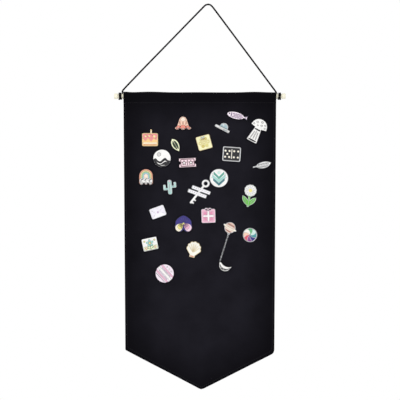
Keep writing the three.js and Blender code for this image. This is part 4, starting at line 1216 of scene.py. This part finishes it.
# %% Outlines of the plates
def clutches_of(name):
    return [node for node in clutch_nodes if node.split("_clutch")[0] == name]


def badge_middle(name):
    """The middle of a badge, from the posts that carry it."""
    return np.mean([post_places[node] for node in clutches_of(name)], axis=0)


flatness, straightness = 0.01, 0.6  # millimetres off the front face, and degrees off a straight line


def front_outline(name, turn):
    """The outline loops of a plate's front face, in the badge's own frame."""
    mesh = frame["nodes"][name + "_pin"].data
    points = np.array([vertex.co for vertex in mesh.vertices]) / MM
    front = points[:, 1].min() + flatness
    key_of = [tuple(np.round(p[[0, 2]], 3)) for p in points]
    following = {}
    for polygon_face in mesh.polygons:
        corners = list(polygon_face.vertices)
        if max(points[c][1] for c in corners) < front:
            for a, b in zip(corners, corners[1:] + corners[:1]):
                pair = (key_of[a], key_of[b])
                if pair[::-1] in following:
                    del following[pair[::-1]]
                else:
                    following[pair] = True
    after = {a: b for a, b in following}
    loops, middle = [], badge_middle(name)[[0, 2]]
    while after:
        start, walk = next(iter(after)), []
        spot = start
        while spot in after:
            walk.append(spot)
            spot = after.pop(spot)
        loops.append(placed(np.array(walk) - middle, 0, 0, -turn))
    return loops


def corner_turns(loop):
    """How far the outline turns at each point, in degrees."""
    arriving, leaving = loop - np.roll(loop, 1, 0), np.roll(loop, -1, 0) - loop
    turn = np.arctan2(leaving[:, 1], leaving[:, 0]) - np.arctan2(arriving[:, 1], arriving[:, 0])
    return np.abs(np.degrees((turn + np.pi) % (2 * np.pi) - np.pi))


def softened(loop, rounds=2, sharpest=52):
    """The outline with finer arcs. Points on straight edges are dropped first."""
    loop = loop[corner_turns(loop) > straightness]
    for _ in range(rounds):
        smooth = corner_turns(loop) < sharpest
        count, finer = len(loop), []
        for i, a in enumerate(loop):
            b, before, after = loop[(i + 1) % count], loop[i - 1], loop[(i + 2) % count]
            finer.append(a)
            if smooth[i] and smooth[(i + 1) % count]:
                length = np.linalg.norm(b - a)
                before = a + (before - a) * min(1, length / np.linalg.norm(before - a))
                after = b + (after - b) * min(1, length / np.linalg.norm(after - b))
                finer.append((9 * (a + b) - before - after) / 16)
        loop = np.array(finer)
    return loop


outlines = {name: [softened(loop) for loop in front_outline(name, entry[0])]
            for name, entry in badges.items()}
print("outline points:", {name: sum(map(len, loops)) for name, loops in outlines.items()})

# %% The badges
cad_thickness, plate_depth, rim_radius, wall_radius = 1.6, 1.3, 0.36, 0.15
field_height, field_step, field_sink = 0.08, 0.03, 0.02
post_radius, post_sink, post_length = 0.6, 0.2, 8.4
post_profile = [(0, -post_sink), (post_radius, -post_sink), (post_radius, 6.8), (0.4, 7.4), (0.15, 8.1),
                (0, post_length)]


def joined(meshes):
    """Several meshes as one, with their materials."""
    things = [bpy.data.objects.new("part", mesh) for mesh in meshes]
    for thing in things:
        scene.collection.objects.link(thing)
    with bpy.context.temp_override(active_object=things[0], selected_editable_objects=things):
        bpy.ops.object.join()
    mesh = things[0].data
    bpy.data.objects.remove(things[0])
    return mesh


def badge_mesh(name, turn, metal, ground, motif):
    """A badge with its enamel and its posts, at its place on the cloth."""
    metal = plating[metal]
    parts = [grow(stamped_plate, paths(outlines[name], closed=True), Depth=plate_depth, Rim=rim_radius,
                  Enamel=enamels[ground], Metal=metal)]
    for layer, (colour, lines) in enumerate(motif):
        parts.append(grow(enamel_field, paths(lines, closed=True), Level=plate_depth - field_sink,
                          Wall=wall_radius, Height=field_height + field_step * layer,
                          Enamel=enamels[colour], Metal=metal))
    middle = badge_middle(name)
    for node in clutches_of(name):
        post = turned("post", post_profile, sides=12)
        post.materials.append(metal)
        right, up = placed([(post_places[node] - middle)[[0, 2]]], 0, 0, -turn)[0]
        post.transform(Matrix.Translation((right, up, 0)) @ Matrix.Rotation(math.pi, 4, "X"))
        parts.append(post)
    mesh = joined(parts)
    c, s = math.cos(math.radians(turn)), math.sin(math.radians(turn))
    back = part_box(name + "_pin")[0].y / MM + cad_thickness
    own_frame = Matrix(((c, -s, 0, middle[0]), (0, 0, -1, back), (s, c, 0, middle[2]), (0, 0, 0, 1)))
    mesh.transform(Matrix.Scale(MM, 4) @ own_frame)
    return mesh


badge_pieces = {}
for name, entry in badges.items():
    node = name + "_pin"
    badge_pieces[name] = piece(name + "_badge", badge_mesh(name, *entry), body_of[node], node)
print("badge faces:", sum(len(thing.data.polygons) for thing in badge_pieces.values()))

# %% [markdown]
# Rubber clutches
# Behind the cloth a moulded rubber cap grips each post: a flange to press against the cloth, a ribbed
# waist to hold, and a blunt nose. One turned shape is set at every post. Each badge that spins carries
# its own clutch, so the caps are made body by body.

# %% Rubber finish and the clutches
rubber_finish, tree, shader, place = new_finish("moulded black rubber", Roughness=0.55,
                                                Specular_IOR_Level=0.35)
# The mould was bead blasted, which leaves a dull grain, drawn 0.6 mm wide so that it shows.
grit = add(tree, "ShaderNodeTexNoise", {"Vector": place["Object"], "Scale": per_mm(0.6), "Detail": 2.0})
colour = add(tree, "ShaderNodeMix", {0: grit.outputs["Fac"], 6: linear("#151517"), 7: linear("#26262a")},
             data_type="RGBA")
grain = add(tree, "ShaderNodeBump", {"Height": grit.outputs["Fac"], "Strength": 0.3, "Distance": 0.08 * MM})
tree.links.new(colour.outputs[2], shader["Base Color"])
tree.links.new(grain.outputs["Normal"], shader["Normal"])

clutch_profile = [
    (0, 6.2), (0.75, 5.4), (0.75, 0), (4.2, 0), (4.5, 0.12), (4.6, 0.42), (4.6, 1.0),
    (4.5, 1.3), (4.2, 1.42), (3.7, 1.5), (3.4, 1.75), (3.3, 2.2), (3.3, 2.6), (3.05, 2.75),
    (3.05, 3.05), (3.3, 3.2), (3.3, 3.6), (3.05, 3.75), (3.05, 4.05), (3.25, 4.2), (3.2, 4.7),
    (2.8, 6.5), (2.65, 7.0), (2.3, 7.3), (1.8, 7.4), (0, 7.4),
]
clutch = turned("clutch", clutch_profile, sides=28)
clutch.transform(Matrix.Rotation(-math.pi / 2, 4, "X"))
for body in frame["bodies"]:
    nodes = [node for node in clutch_nodes if body_of[node] == body]
    if nodes:
        places = [(post_places[n][0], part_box(n)[0].y / MM, post_places[n][2]) for n in nodes]
        piece(body + "_clutches", at_points(clutch, places, rubber_finish), body, *nodes)
print("clutches:", len(clutch_nodes))

# %% [markdown]
# The charm's chain
# A fine curb of oval links joins the planet to the crescent. The link is a ring of wire, drawn out along
# the chain, and each one is a quarter turn on from the last so that they interlock. A larger ring at each
# end goes through the badge's eye.

# %% The chain
def wire_ring(half_long, half_wide, wire, steps=16, sides=6):
    """An oval ring of wire in the X-Y plane."""
    t = 2 * np.pi * np.arange(steps) / steps
    middle = np.column_stack([half_long * np.cos(t), half_wide * np.sin(t), 0 * t])
    out = np.column_stack([half_wide * np.cos(t), half_long * np.sin(t), 0 * t])
    out /= np.linalg.norm(out, axis=1)[:, None]
    points = [m + wire * (o * math.cos(a) + np.array([0, 0, 1]) * math.sin(a))
              for m, o in zip(middle, out) for a in 2 * np.pi * np.arange(sides) / sides]
    number = np.arange(steps * sides).reshape(steps, sides)
    after, beside = np.roll(number, -1, 0), np.roll(number, -1, 1)
    faces = np.dstack([number, after, np.roll(after, -1, 1), beside]).reshape(-1, 4).tolist()
    mesh = bpy.data.meshes.new("ring")
    mesh.from_pydata([tuple(p) for p in points], [], faces)
    mesh.shade_smooth()
    return mesh


low, high = (np.array(corner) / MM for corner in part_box("charm_chain"))
chain_y = (low[1] + high[1]) / 2
link_size, link_pitch, chain_radius = (1.6, 0.66, 0.26), 2.4, 0.3
eye_size, eye_reach, eye_forward = (1.5, 1.05, 0.13), 0.7, 0.12
top = np.array([high[0] - chain_radius, chain_y, high[2]])
foot = np.array([low[0] + chain_radius, chain_y, low[2]])
direction = (foot - top) / np.linalg.norm(foot - top)
links = row_of(wire_ring(*link_size), [np.array([top, foot])], link_pitch, math.pi / 2, plating["nickel"])
ends = []
for end, outward in ((top, -direction), (foot, direction)):
    ring = wire_ring(*eye_size)
    upright = np.cross(outward, (0, -1, 0))
    axes = Matrix(np.column_stack([outward, (0, -1, 0), upright]).tolist()).to_4x4()
    eye = Vector(end + eye_reach * outward) - Vector((0, eye_forward, 0))
    ring.transform(Matrix.Scale(MM, 4) @ Matrix.Translation(eye) @ axes)
    ring.materials.append(plating["nickel"])
    ends.append(ring)
chain = piece("charm_links", joined([links, *ends]), "banner", "charm_chain")
print(f"chain: {np.linalg.norm(foot - top):.1f} mm, faces:", len(chain.data.polygons))

# %% [markdown]
# Studio
# The photo is a cut-out on white, so the light is plain: a white sky from all sides, a large soft lamp
# from the upper left to give the badges a shine, a weaker one from the right, and a pale floor some way
# below the tip.

# %% Floor, sky and lamps
# Painted board: flat and pale, with faint patches of a few centimetres.
floor_finish, tree, shader, place = new_finish("painted studio board", Roughness=0.9)
speckle = add(tree, "ShaderNodeTexNoise", {"Vector": place["Object"], "Scale": per_mm(60)})
colour = add(tree, "ShaderNodeMix",
             {0: speckle.outputs["Fac"], 6: linear("#efefed"), 7: linear("#f6f6f5")}, data_type="RGBA")
tree.links.new(colour.outputs[2], shader["Base Color"])
floor_radius, floor_depth, floor_level = 1400, 20, -750
floor_profile = [(0, -floor_depth), (floor_radius, -floor_depth), (floor_radius, 0), (0, 0)]
floor_mesh = turned("floor", floor_profile, sides=64)
floor_mesh.transform(Matrix.Scale(MM, 4) @ Matrix.Translation((picture_middle[0], 0, floor_level)))
floor_mesh.materials.append(floor_finish)
floor = bpy.data.objects.new("floor", floor_mesh)
scene.collection.objects.link(floor)

sky_light, sky_seen = 0.8, 1.0  # what falls on the banner, and what the picture shows behind it
sky = bpy.data.worlds.new("white sky")
sky.use_nodes = True
seen = add(sky.node_tree, "ShaderNodeLightPath").outputs["Is Camera Ray"]
glow = add(sky.node_tree, "ShaderNodeMapRange", {"Value": seen, "To Min": sky_light, "To Max": sky_seen})
sky.node_tree.links.new(glow.outputs[0], sky.node_tree.nodes["Background"].inputs["Strength"])
sky.node_tree.nodes["Background"].inputs["Color"].default_value = (1, 1, 1, 1)
scene.world = sky
scene.view_settings.view_transform = "Standard"

lamps = (("key lamp", (-0.9, -1.3, 0.5), 0.9, 9.0), ("fill lamp", (1.1, -1.1, -0.1), 0.7, 3.0))
for name, place_m, size, power in lamps:  # metres and watts
    lamp = bpy.data.lights.new(name, "AREA")
    lamp.size, lamp.energy = size, power
    holder = bpy.data.objects.new(name, lamp)
    holder.location = place_m
    aim = Vector((picture_middle[0] * MM, 0, picture_middle[1] * MM)) - holder.location
    holder.rotation_euler = aim.to_track_quat("-Z", "Y").to_euler()
    scene.collection.objects.link(holder)
print("stage ready")

# %% [markdown]
# Finishes for the hidden nodes
# The hidden CAD nodes get the finish of the piece that stands for them.

# %% Finish of the hidden CAD nodes
finish_of = {
    "front_panel": cloth_finish, "back_lining": lining_finish, "wooden_stick": wood_finish,
    "hanging_cord": cord_finish, "charm_chain": plating["nickel"],
}
finish_of.update({node: rubber_finish for node in clutch_nodes})
finish_of.update({name + "_pin": plating[metal] for name, (turn, metal, ground, motif) in badges.items()})
for node, thing in frame["nodes"].items():
    thing.data.materials.clear()
    thing.data.materials.append(finish_of[node])
